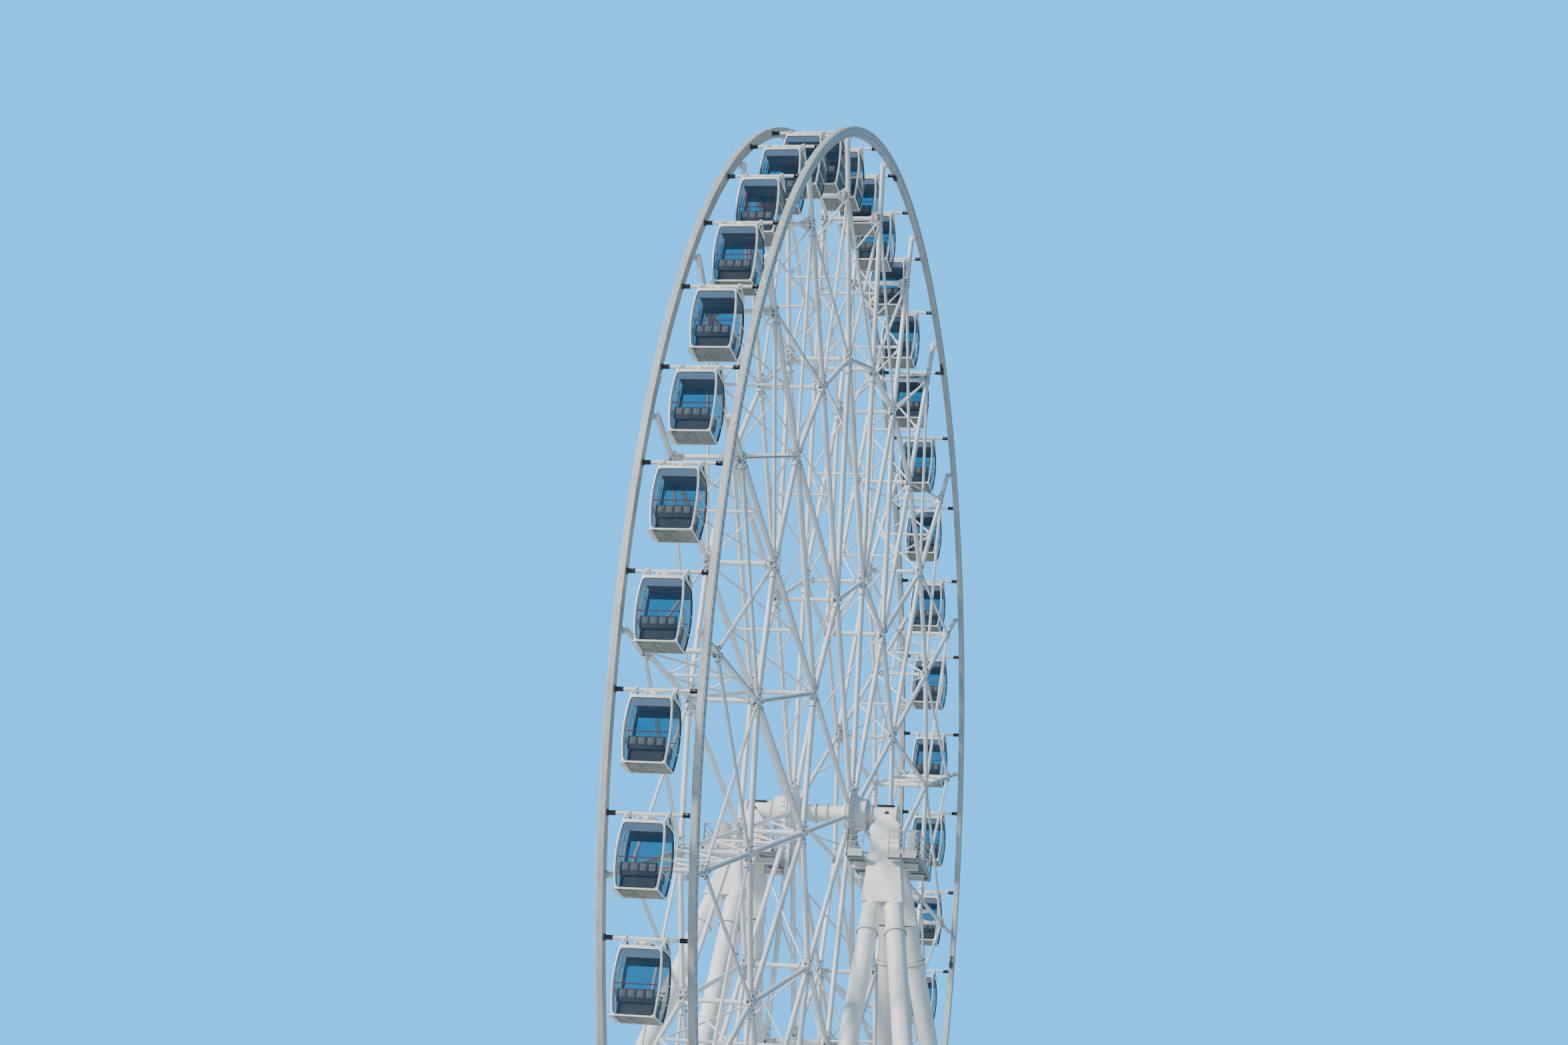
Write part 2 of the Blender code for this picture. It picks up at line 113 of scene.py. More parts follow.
def add_node(tree: bpy.types.NodeTree, kind: str, **values: object) -> bpy.types.Node:
    """Adds a shader node.

    Args:
        tree: the tree it goes in.
        kind: the node's type.
        values: its properties, or inputs where the name is one of its sockets.

    Returns:
        The node.
    """
    node = tree.nodes.new(kind)
    for name, value in values.items():
        if hasattr(node, name):
            setattr(node, name, value)
        else:
            node.inputs[name.replace("_", " ").title()].default_value = value
    return node


def group_sockets(
    name: str, inputs: Sequence[tuple[str, str, float]], outputs: Sequence[str]
) -> tuple[bpy.types.NodeTree, bpy.types.Node, bpy.types.Node]:
    """Starts a shader node group.

    Args:
        name: the group's name.
        inputs: name, socket type and starting value of each input.
        outputs: names of the values that it puts out.

    Returns:
        The group's tree and its input and output nodes.
    """
    tree = bpy.data.node_groups.new(name, "ShaderNodeTree")
    for label, kind, start in inputs:
        socket = tree.interface.new_socket(label, in_out="INPUT", socket_type=kind)
        if kind == "NodeSocketFloat":
            socket.default_value = start
    for label in outputs:
        tree.interface.new_socket(label, in_out="OUTPUT", socket_type="NodeSocketFloat")
    return tree, tree.nodes.new("NodeGroupInput"), tree.nodes.new("NodeGroupOutput")


@lru_cache(maxsize=None)
def weather_group() -> bpy.types.NodeTree:
    """Builds the shared weathering effect: broad grime with runs, and fine grain.

    Returns:
        The group, which puts out Grime and Grain.
    """
    tree, start, end = group_sockets(
        "weathering",
        (("Vector", "NodeSocketVector", 0.0), ("Patch", "NodeSocketFloat", 1.2),
         ("Run", "NodeSocketFloat", 0.3), ("Fine", "NodeSocketFloat", 60.0)),
        ("Grime", "Grain"),
    )
    link = tree.links.new
    stretch = add_node(tree, "ShaderNodeCombineXYZ", X=1.0, Y=1.0)
    link(start.outputs["Run"], stretch.inputs["Z"])
    runs = add_node(tree, "ShaderNodeVectorMath", operation="MULTIPLY")
    link(start.outputs["Vector"], runs.inputs[0])
    link(stretch.outputs[0], runs.inputs[1])
    streaks = add_node(tree, "ShaderNodeTexNoise", Detail=5.0, Roughness=0.6)
    link(runs.outputs[0], streaks.inputs["Vector"])
    streak_scale = add_node(tree, "ShaderNodeMath", operation="MULTIPLY")
    streak_scale.inputs[1].default_value = 9.0
    link(start.outputs["Patch"], streak_scale.inputs[0])
    link(streak_scale.outputs[0], streaks.inputs["Scale"])
    patches = add_node(tree, "ShaderNodeTexNoise", Detail=3.0, Roughness=0.5)
    link(start.outputs["Vector"], patches.inputs["Vector"])
    link(start.outputs["Patch"], patches.inputs["Scale"])
    both = add_node(tree, "ShaderNodeMath", operation="MULTIPLY")
    link(streaks.outputs[0], both.inputs[0])
    link(patches.outputs[0], both.inputs[1])
    spread = add_node(tree, "ShaderNodeMapRange")
    spread.inputs["From Min"].default_value = 0.18
    spread.inputs["From Max"].default_value = 0.42
    link(both.outputs[0], spread.inputs["Value"])
    link(spread.outputs[0], end.inputs["Grime"])
    grain = add_node(tree, "ShaderNodeTexNoise", Detail=2.0)
    link(start.outputs["Vector"], grain.inputs["Vector"])
    link(start.outputs["Fine"], grain.inputs["Scale"])
    link(grain.outputs[0], end.inputs["Grain"])
    return tree


@lru_cache(maxsize=None)
def spangle_group() -> bpy.types.NodeTree:
    """Builds the shared zinc spangle: flat crystals, each with its own shade.

    Returns:
        The group, which puts out Spangle.
    """
    tree, start, end = group_sockets(
        "spangle",
        (("Vector", "NodeSocketVector", 0.0), ("Size", "NodeSocketFloat", 22.0)),
        ("Spangle",),
    )
    link = tree.links.new
    cells = add_node(tree, "ShaderNodeTexVoronoi", feature="F1")
    link(start.outputs["Vector"], cells.inputs["Vector"])
    link(start.outputs["Size"], cells.inputs["Scale"])
    shade = add_node(tree, "ShaderNodeSeparateColor")
    link(cells.outputs["Color"], shade.inputs[0])
    link(shade.outputs[0], end.inputs["Spangle"])
    return tree


@dataclass(frozen=True)
class Finish:
    """What a surface is made of; the subclasses add what their kind shows."""

    name: str
    colour: tuple[float, float, float]
    roughness: float = 0.45
    metallic: float = 0.0

    @lru_cache(maxsize=None)
    def material(self) -> bpy.types.Material:
        """Builds the material once.

        Returns:
            The material, with its pattern on Object coordinates.
        """
        material = bpy.data.materials.new(self.name)
        material.use_nodes = True
        tree = material.node_tree
        shader = tree.nodes["Principled BSDF"]
        shader.inputs["Base Color"].default_value = (*self.colour, 1.0)
        shader.inputs["Roughness"].default_value = self.roughness
        shader.inputs["Metallic"].default_value = self.metallic
        place = add_node(tree, "ShaderNodeTexCoord")
        self.pattern(tree, shader, place.outputs["Object"])
        return material

    def pattern(
        self, tree: bpy.types.NodeTree, shader: bpy.types.Node, place: bpy.types.NodeSocket
    ) -> None:
        """Adds the pattern of this kind of finish; the plain kind has grain alone.

        Args:
            tree: the material's tree.
            shader: its Principled BSDF.
            place: Object coordinates.
        """
        weather = self.weather(tree, place, 2.0, 1.0, 90.0)
        self.bump(tree, shader, weather.outputs["Grain"], 0.02, 0.002)
        self.spread(tree, weather.outputs["Grime"], shader.inputs["Roughness"],
                    self.roughness - 0.06, self.roughness + 0.08)

    def weather(
        self, tree: bpy.types.NodeTree, place: bpy.types.NodeSocket, patch: float, run: float,
        fine: float,
    ) -> bpy.types.Node:
        """Places the weathering group.

        Args:
            tree: the material's tree.
            place: Object coordinates.
            patch: patches to a metre.
            run: how much shorter than wide the grime is; small values give long runs.
            fine: grains to a metre.

        Returns:
            The group node.
        """
        node = add_node(tree, "ShaderNodeGroup", node_tree=weather_group())
        tree.links.new(place, node.inputs["Vector"])
        node.inputs["Patch"].default_value = patch
        node.inputs["Run"].default_value = run
        node.inputs["Fine"].default_value = fine
        return node

    def blend(
        self, tree: bpy.types.NodeTree, mask: bpy.types.NodeSocket, amount: float,
        under: bpy.types.NodeSocket | tuple[float, float, float],
        over: tuple[float, float, float],
    ) -> bpy.types.NodeSocket:
        """Mixes a colour over another by a mask.

        Args:
            tree: the material's tree.
            mask: where the second colour shows.
            amount: how strongly it shows at most.
            under: the first colour.
            over: the second colour.

        Returns:
            The mixed colour.
        """
        strength = add_node(tree, "ShaderNodeMath", operation="MULTIPLY", use_clamp=True)
        strength.inputs[1].default_value = amount
        tree.links.new(mask, strength.inputs[0])
        mix = add_node(tree, "ShaderNodeMix", data_type="RGBA")
        tree.links.new(strength.outputs[0], mix.inputs[0])
        if isinstance(under, tuple):
            mix.inputs[6].default_value = (*under, 1.0)
        else:
            tree.links.new(under, mix.inputs[6])
        mix.inputs[7].default_value = (*over, 1.0)
        return mix.outputs[2]

    def bump(
        self, tree: bpy.types.NodeTree, shader: bpy.types.Node, height: bpy.types.NodeSocket,
        strength: float, distance: float,
    ) -> None:
        """Drives the shader's normal from a height.

        Args:
            tree: the material's tree.
            shader: its Principled BSDF.
            height: the height's socket.
            strength: the bump's strength.
            distance: its depth in metres.
        """
        bump = add_node(tree, "ShaderNodeBump")
        bump.inputs["Strength"].default_value = strength
        bump.inputs["Distance"].default_value = distance
        tree.links.new(height, bump.inputs["Height"])
        tree.links.new(bump.outputs["Normal"], shader.inputs["Normal"])

    def spread(
        self, tree: bpy.types.NodeTree, value: bpy.types.NodeSocket,
        target: bpy.types.NodeSocket, low: float, high: float,
    ) -> None:
        """Feeds a mask from 0 to 1 into a socket as a range.

        Args:
            tree: the material's tree.
            value: the mask.
            target: the socket it feeds.
            low: the value at 0.
            high: the value at 1.
        """
        span = add_node(tree, "ShaderNodeMapRange")
        span.inputs["To Min"].default_value = low
        span.inputs["To Max"].default_value = high
        tree.links.new(value, span.inputs["Value"])
        tree.links.new(span.outputs[0], target)


@dataclass(frozen=True)
class Paint(Finish):
    """Semi-gloss paint on steel, with faint grime and an orange-peel surface."""

    grime: tuple[float, float, float] = (0.42, 0.41, 0.37)
    grime_amount: float = 0.35
    patch: float = 0.8
    run: float = 0.25

    def pattern(
        self, tree: bpy.types.NodeTree, shader: bpy.types.Node, place: bpy.types.NodeSocket
    ) -> None:
        """Lays thin runs of grime over the paint.

        Args:
            tree: the material's tree.
            shader: its Principled BSDF.
            place: Object coordinates.
        """
        weather = self.weather(tree, place, self.patch, self.run, 45.0)
        colour = self.blend(
            tree, weather.outputs["Grime"], self.grime_amount, self.colour, self.grime
        )
        tree.links.new(colour, shader.inputs["Base Color"])
        self.spread(tree, weather.outputs["Grime"], shader.inputs["Roughness"],
                    self.roughness, self.roughness + 0.22)
        self.bump(tree, shader, weather.outputs["Grain"], 0.06, 0.004)
        shader.inputs["Coat Weight"].default_value = 0.15
        shader.inputs["Coat Roughness"].default_value = 0.25


@dataclass(frozen=True)
class Zinc(Finish):
    """Hot-dip zinc: spangled crystals, dull white bloom and darker runs."""

    bloom: tuple[float, float, float] = (0.60, 0.60, 0.57)
    stain: tuple[float, float, float] = (0.30, 0.29, 0.26)
    size: float = 18.0

    def pattern(
        self, tree: bpy.types.NodeTree, shader: bpy.types.Node, place: bpy.types.NodeSocket
    ) -> None:
        """Mixes the crystals with bloom, and stains over both.

        Args:
            tree: the material's tree.
            shader: its Principled BSDF.
            place: Object coordinates.
        """
        crystals = add_node(tree, "ShaderNodeGroup", node_tree=spangle_group())
        tree.links.new(place, crystals.inputs["Vector"])
        crystals.inputs["Size"].default_value = self.size
        weather = self.weather(tree, place, 1.6, 0.4, 50.0)
        colour = self.blend(tree, crystals.outputs[0], 0.55, self.colour, self.bloom)
        colour = self.blend(tree, weather.outputs["Grime"], 0.45, colour, self.stain)
        tree.links.new(colour, shader.inputs["Base Color"])
        self.spread(tree, crystals.outputs[0], shader.inputs["Roughness"],
                    self.roughness - 0.08, self.roughness + 0.12)
        self.bump(tree, shader, weather.outputs["Grain"], 0.05, 0.003)


@dataclass(frozen=True)
class Glass(Finish):
    """Tinted safety glass, partly see-through, with a film of dust."""

    opacity: float = 0.75
    dust: tuple[float, float, float] = (0.20, 0.27, 0.34)

    def pattern(
        self, tree: bpy.types.NodeTree, shader: bpy.types.Node, place: bpy.types.NodeSocket
    ) -> None:
        """Lays dust over the tint and makes the pane partly see-through.

        Args:
            tree: the material's tree.
            shader: its Principled BSDF.
            place: Object coordinates.
        """
        weather = self.weather(tree, place, 1.4, 0.5, 30.0)
        colour = self.blend(tree, weather.outputs["Grime"], 0.12, self.colour, self.dust)
        tree.links.new(colour, shader.inputs["Base Color"])
        self.spread(tree, weather.outputs["Grime"], shader.inputs["Roughness"],
                    self.roughness, self.roughness + 0.10)
        self.spread(tree, weather.outputs["Grime"], shader.inputs["Alpha"],
                    self.opacity, min(1.0, self.opacity + 0.05))
        shader.inputs["Coat Weight"].default_value = 0.6
        shader.inputs["Coat Roughness"].default_value = 0.04


@dataclass(frozen=True)
class Finishes:
    """Every finish of the wheel."""

    tower: Finish = Paint("tower_white_paint", (0.84, 0.84, 0.81), 0.34, grime_amount=0.22)
    spokes: Finish = Paint("spoke_white_paint", (0.83, 0.84, 0.83), 0.36, grime_amount=0.25)
    hub: Finish = Paint("hub_white_paint", (0.80, 0.81, 0.80), 0.38, grime_amount=0.35)
    cabin: Finish = Paint("cabin_ivory_paint", (0.80, 0.80, 0.75), 0.36, grime_amount=0.22,
                          patch=2.2)
    tray: Finish = Paint("floor_tray_olive_paint", (0.235, 0.24, 0.21), 0.5,
                         grime=(0.10, 0.10, 0.085), grime_amount=0.45, patch=3.0)
    rim: Finish = Zinc("rim_weathered_zinc", (0.50, 0.50, 0.46), 0.52, 0.25)
    deck: Finish = Zinc("deck_zinc", (0.50, 0.52, 0.53), 0.50, 0.35, size=40.0)
    bolt: Finish = Zinc("bolt_zinc", (0.11, 0.115, 0.125), 0.42, 0.5, bloom=(0.22, 0.23, 0.24),
                        size=90.0)
    sleeve: Finish = Paint("polished_dark_sleeve", (0.035, 0.037, 0.045), 0.16, 0.6,
                           grime=(0.12, 0.12, 0.12), grime_amount=0.2)
    strip: Finish = Paint("light_strip_rail", (0.62, 0.66, 0.68), 0.42, grime_amount=0.3)
    bulb: Finish = Paint("light_lens", (0.20, 0.27, 0.33), 0.25, grime_amount=0.2)
    lens_pale: Finish = Paint("light_lens_pale", (0.66, 0.74, 0.80), 0.22, grime_amount=0.2)
    window: Finish = Glass("window_navy_glass", (0.006, 0.022, 0.055), 0.06, opacity=0.31)
    window_band: Finish = Glass("window_band_glass", (0.085, 0.14, 0.22), 0.14, opacity=0.85)
    # Same glass as the front panes: the navy tint is the glass's own, and the lighter, bluer colour
    # is painted sky reflection on the side panes.
    side_window: Finish = Glass("side_blue_glass", (0.010, 0.05, 0.10), 0.06, opacity=0.24)
    lining: Finish = Paint("cabin_lining", (0.17, 0.19, 0.21), 0.6, grime_amount=0.2)
    seat: Finish = Paint("seat_shell", (0.085, 0.105, 0.125), 0.5, grime_amount=0.15)
    seat_panel: Finish = Paint("seat_panel_grey", (0.36, 0.38, 0.40), 0.55, grime_amount=0.2,
                               patch=4.0)
    handrail: Finish = Paint("red_handrail", (0.52, 0.05, 0.045), 0.35, grime_amount=0.15)
    rubber: Finish = Finish("black_rubber", (0.02, 0.021, 0.023), 0.65)
    cover: Finish = Finish("black_plastic_cover", (0.03, 0.031, 0.035), 0.45)
    grille: Finish = Finish("vent_grille", (0.13, 0.14, 0.15), 0.55)
    cabinet: Finish = Paint("grey_cabinet", (0.42, 0.45, 0.48), 0.45, grime_amount=0.35)
    floor: Finish = Finish("studio_floor", (0.46, 0.50, 0.53), 0.85)


FINISH = Finishes()


# ---- Modelling


class Bench:
    """A piece on the workbench: one mesh in edit mode, to which shapes are added.

    A shape starts as a primitive at its size and place and is then extruded,
    resized or bevelled. Its faces take the finish that was chosen last.
    """

    def __init__(self, name: str, *finishes: Finish) -> None:
        """Opens an empty piece.

        Args:
            name: the piece's name.
            finishes: its finishes, in the order of its material slots.
        """
        bpy.ops.object.select_all(action="DESELECT")
        mesh = bpy.data.meshes.new(name)
        self.piece = bpy.data.objects.new(name, mesh)
        self.finishes = finishes
        for finish in finishes:
            mesh.materials.append(finish.material())
        bpy.context.scene.collection.objects.link(self.piece)
        bpy.context.view_layer.objects.active = self.piece
        self.piece.select_set(True)
        bpy.ops.object.mode_set(mode="EDIT")

    def use(self, finish: Finish) -> None:
        """Chooses the finish of the shapes that follow."""
        self.piece.active_material_index = self.finishes.index(finish)

    def cage(self) -> bmesh.types.BMesh:
        """Gives the mesh under work."""
        return bmesh.from_edit_mesh(self.piece.data)

    def keep_selected(self, test: object) -> None:
        """Narrows the selected faces to those that pass a test.

        Args:
            test: called with each selected face.
        """
        cage = self.cage()
        wanted = [face for face in cage.faces if face.select and test(face)]
        bpy.ops.mesh.select_all(action="DESELECT")
        for face in wanted:
            face.select_set(True)
        bmesh.update_edit_mesh(self.piece.data)

    def turned(
        self, start: Vector, along: Vector, profile: Sequence[tuple[float, float]],
        sides: int = 12,
    ) -> None:
        """Adds a round shape: a filled circle, extruded and resized step by step.

        Args:
            start: the point that distances are measured from.
            along: the direction of its axis.
            profile: distance and radius of each section, in order.
            sides: corners of its section.
        """
        axis = Vector(along).normalized()
        at, radius = profile[0]
        bpy.ops.mesh.select_all(action="DESELECT")
        bpy.ops.mesh.primitive_circle_add(
            vertices=sides, radius=radius, fill_type="NGON", location=Vector(start) + axis * at,
            rotation=axis.to_track_quat("Z", "Y").to_euler(),
        )
        bpy.ops.object.material_slot_assign()
        for reach, wide in profile[1:]:
            bpy.ops.mesh.extrude_region_move(
                TRANSFORM_OT_translate={"value": axis * (reach - at)}
            )
            if abs(wide - radius) > 1e-6:
                bpy.ops.transform.resize(
                    value=(wide / radius,) * 3, center_override=Vector(start) + axis * reach
                )
            at, radius = reach, wide

    def rod(self, start: Vector, end: Vector, radius: float, sides: int = 12,
            flanges: Sequence[tuple[float, float, float]] = ()) -> None:
        """Adds a straight tube with flanges along it.

        Args:
            start: centre of one end.
            end: centre of the other.
            radius: the tube's radius.
            sides: corners of its section.
            flanges: distance from start, radius and thickness of each flange, in order.
        """
        length = (end - start).length
        rounding = radius * 0.25
        profile = [(0.0, radius - rounding), (rounding, radius)]
        for reach, wide, thick in flanges:
            profile += [(reach, radius), (reach, wide), (reach + thick, wide),
                        (reach + thick, radius)]
        profile += [(length - rounding, radius), (length, radius - rounding)]
        self.turned(start, end - start, profile, sides)

    def studs(self, centre: Vector, along: Vector, ring: float, count: int, radius: float,
              reach: float) -> None:
        """Adds a ring of through-bolts.

        Args:
            centre: centre of the ring.
            along: the bolts' direction.
            ring: radius of the ring.
            count: number of bolts.
            radius: radius of one bolt's head.
            reach: length of one bolt, centred on the ring's plane.
        """
        axis = Vector(along).normalized()
        turn = axis.to_track_quat("Z", "Y").to_matrix()
        for index in range(count):
            angle = math.tau * index / count
            place = centre + turn @ Vector((ring * math.cos(angle), ring * math.sin(angle), 0))
            self.turned(place - axis * reach / 2, axis, ((0, radius), (reach, radius * 0.9)), 5)

    def block(self, low: Sequence[float], high: Sequence[float], bevel: float = 0.0,
              bevel_steps: int = 1) -> None:
        """Adds a block between two corners, its edges bevelled.

        Args:
            low: lowest corner.
            high: highest corner.
            bevel: width of the bevel.
            bevel_steps: segments of the bevel.
        """
        low, high = Vector(low), Vector(high)
        bpy.ops.mesh.select_all(action="DESELECT")
        bpy.ops.mesh.primitive_cube_add(size=1, location=(low + high) / 2, scale=high - low)
        bpy.ops.object.material_slot_assign()
        if bevel:
            bpy.ops.mesh.bevel(offset=bevel, segments=bevel_steps, affect="EDGES")

    def bar(self, start: Vector, end: Vector, facing: Vector, width: float, depth: float,
            bevel: float = 0.0, end_scale: float = 1.0) -> None:
        """Adds a flat bar between two points.

        Args:
            start: middle of one end.
            end: middle of the other.
            facing: direction of its broad face.
            width: width of the broad face.
            depth: thickness through it.
            bevel: width of the bevel on its edges.
            end_scale: how large the far end is beside the near one.
        """
        along = (end - start).normalized()
        out = (facing - along * facing.dot(along)).normalized()
        turn = Matrix((out.cross(along), out, along)).transposed()
        bpy.ops.mesh.select_all(action="DESELECT")
        bpy.ops.mesh.primitive_cube_add(
            size=1, location=(start + end) / 2, rotation=turn.to_euler(),
            scale=(width, depth, (end - start).length),
        )
        bpy.ops.object.material_slot_assign()
        if end_scale != 1.0:
            self.keep_selected(lambda face: face.normal.dot(along) > 0.9)
            bpy.ops.transform.resize(value=(end_scale,) * 3, center_override=end)
            bpy.ops.mesh.select_linked()
        if bevel:
            bpy.ops.mesh.bevel(offset=bevel, segments=1, affect="EDGES")

    def plate(self, outline: Sequence[Vector], thickness: Vector) -> None:
        """Adds a plate: a filled ring of corners moved to its outline, then extruded.

        Args:
            outline: its corners in order.
            thickness: the extrusion, from one face to the other.
        """
        bpy.ops.mesh.select_all(action="DESELECT")
        bpy.ops.mesh.primitive_circle_add(vertices=len(outline), radius=1.0, fill_type="NGON")
        bpy.ops.object.material_slot_assign()
        cage = self.cage()
        corners = [corner for corner in cage.verts if corner.select]
        for corner, target in zip(corners, outline):
            corner.co = Vector(target) - thickness / 2
        bmesh.update_edit_mesh(self.piece.data)
        bpy.ops.mesh.extrude_region_move(TRANSFORM_OT_translate={"value": thickness})

    def done(self) -> bpy.types.Object:
        """Leaves edit mode with all walls facing outwards.

        Returns:
            The piece.
        """
        bpy.ops.mesh.select_all(action="SELECT")
        bpy.ops.mesh.normals_make_consistent(inside=False)
        bpy.ops.mesh.select_all(action="DESELECT")
        bpy.ops.object.mode_set(mode="OBJECT")
        return self.piece


def repeat_along(piece: bpy.types.Object, start: Vector, end: Vector, pitch: float) -> None:
    """Repeats a piece in a row with an Array modifier, which is applied.

    Args:
        piece: the first of the row, in place.
        start: where the row starts.
        end: where it ends.
        pitch: distance from one to the next.
    """
    bpy.ops.object.select_all(action="DESELECT")
    bpy.context.view_layer.objects.active = piece
    piece.select_set(True)
    row = piece.modifiers.new("row", "ARRAY")
    row.use_relative_offset = False
    row.use_constant_offset = True
    row.constant_offset_displace = (end - start).normalized() * pitch
    row.count = max(1, int((end - start).length / pitch))
    bpy.ops.object.modifier_apply(modifier=row.name)


def joined(name: str, parts: Iterable[bpy.types.Object]) -> bpy.types.Object:
    """Joins pieces into one.

    Args:
        name: the new piece's name.
        parts: the pieces; they are used up.

    Returns:
        The joined piece.
    """
    parts = list(parts)
    bpy.ops.object.select_all(action="DESELECT")
    for part in parts:
        part.select_set(True)
    bpy.context.view_layer.objects.active = parts[0]
    if len(parts) > 1:
        bpy.ops.object.join()
    parts[0].name = name
    parts[0].data.name = name
    return parts[0]


def moved_copies(
    name: str, piece: bpy.types.Object, places: Iterable[Matrix], keep: bool = False
) -> bpy.types.Object:
    """Sets copies of a piece side by side as one piece.

    Args:
        name: the new piece's name.
        piece: the piece that is copied.
        places: where each copy goes.
        keep: whether the first piece is kept.

    Returns:
        The piece with all its copies.
    """
    cage = bmesh.new()
    for place in places:
        copy = piece.data.copy()
        copy.transform(place)
        cage.from_mesh(copy)
        bpy.data.meshes.remove(copy)
    mesh = bpy.data.meshes.new(name)
    cage.to_mesh(mesh)
    cage.free()
    for material in piece.data.materials:
        mesh.materials.append(material)
    whole = bpy.data.objects.new(name, mesh)
    bpy.context.scene.collection.objects.link(whole)
    if not keep:
        bpy.data.objects.remove(piece, do_unlink=True)
    return whole


def turned_about_hub(steps: float) -> Matrix:
    """Gives the turn of the wheel by some cabin steps."""
    turn = Matrix.Rotation(steps * math.tau / CABINS, 4, "Y")
    return Matrix.Translation(HUB) @ turn @ Matrix.Translation(-HUB)


def flipped_side() -> Matrix:
    """Gives the mirror from one side of the wheel to the other."""
    return Matrix.Diagonal((1.0, -1.0, 1.0, 1.0))


def mirrored(name: str, piece: bpy.types.Object) -> bpy.types.Object:
    """Copies a piece to the other side, with its walls turned outwards again.

    Args:
        name: the copy's name.
        piece: the piece, which is kept.

    Returns:
        The mirrored copy.
    """
    copy = moved_copies(name, piece, [flipped_side()], keep=True)
    bpy.ops.object.select_all(action="DESELECT")
    bpy.context.view_layer.objects.active = copy
    copy.select_set(True)
    bpy.ops.object.mode_set(mode="EDIT")
    bpy.ops.mesh.select_all(action="SELECT")
    bpy.ops.mesh.flip_normals()
    bpy.ops.object.mode_set(mode="OBJECT")
    return copy


def fit(
    piece: bpy.types.Object, body: str, nodes: Sequence[str] = ()
) -> bpy.types.Object:
    """Shades a finished piece and sets it on its body.

    Args:
        piece: the piece, in place.
        body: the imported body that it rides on.
        nodes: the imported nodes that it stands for.

    Returns:
        The piece.
    """
    bpy.ops.object.select_all(action="DESELECT")
    bpy.context.view_layer.objects.active = piece
    piece.select_set(True)
    bpy.ops.object.shade_smooth_by_angle(angle=SMOOTH)
    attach(piece, body)
    if nodes:
        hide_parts(*nodes)
    triangles = sum(len(face.vertices) - 2 for face in piece.data.polygons)
    LOG.info("%s rides on %s: %d triangles", piece.name, body, triangles)
    return piece


# ---- The wheel


@dataclass
class LightStrip:
    """A strip of lamps: a flat rail with close lenses."""

    width: float = 0.026
    rail_depth: float = 0.010
    lens: float = 0.024
    lens_depth: float = 0.011
    pitch: float = 0.062

    def build(self, start: Vector, end: Vector, facing: Vector) -> bpy.types.Object:
        """Builds one straight strip.

        Args:
            start: where it starts, on the surface that carries it.
            end: where it ends.
            facing: the direction that it shines in.

        Returns:
            The strip as a loose piece.
        """
        along = (end - start).normalized()
        lift = facing * (self.rail_depth / 2 - 0.002)
        rail = Bench("strip_rail", FINISH.strip)
        rail.bar(start + lift, end + lift, facing, self.width, self.rail_depth)
        rail_piece = rail.done()
        first = start + along * self.pitch / 2 + facing * (self.rail_depth - 0.003)
        lens = Bench("strip_lens", FINISH.bulb)
        lens.turned(first, facing, ((0.0, self.lens / 2), (self.lens_depth, self.lens / 3)), 4)
        lens_piece = lens.done()
        repeat_along(lens_piece, start, end, self.pitch)
        return joined("strip", (rail_piece, lens_piece))


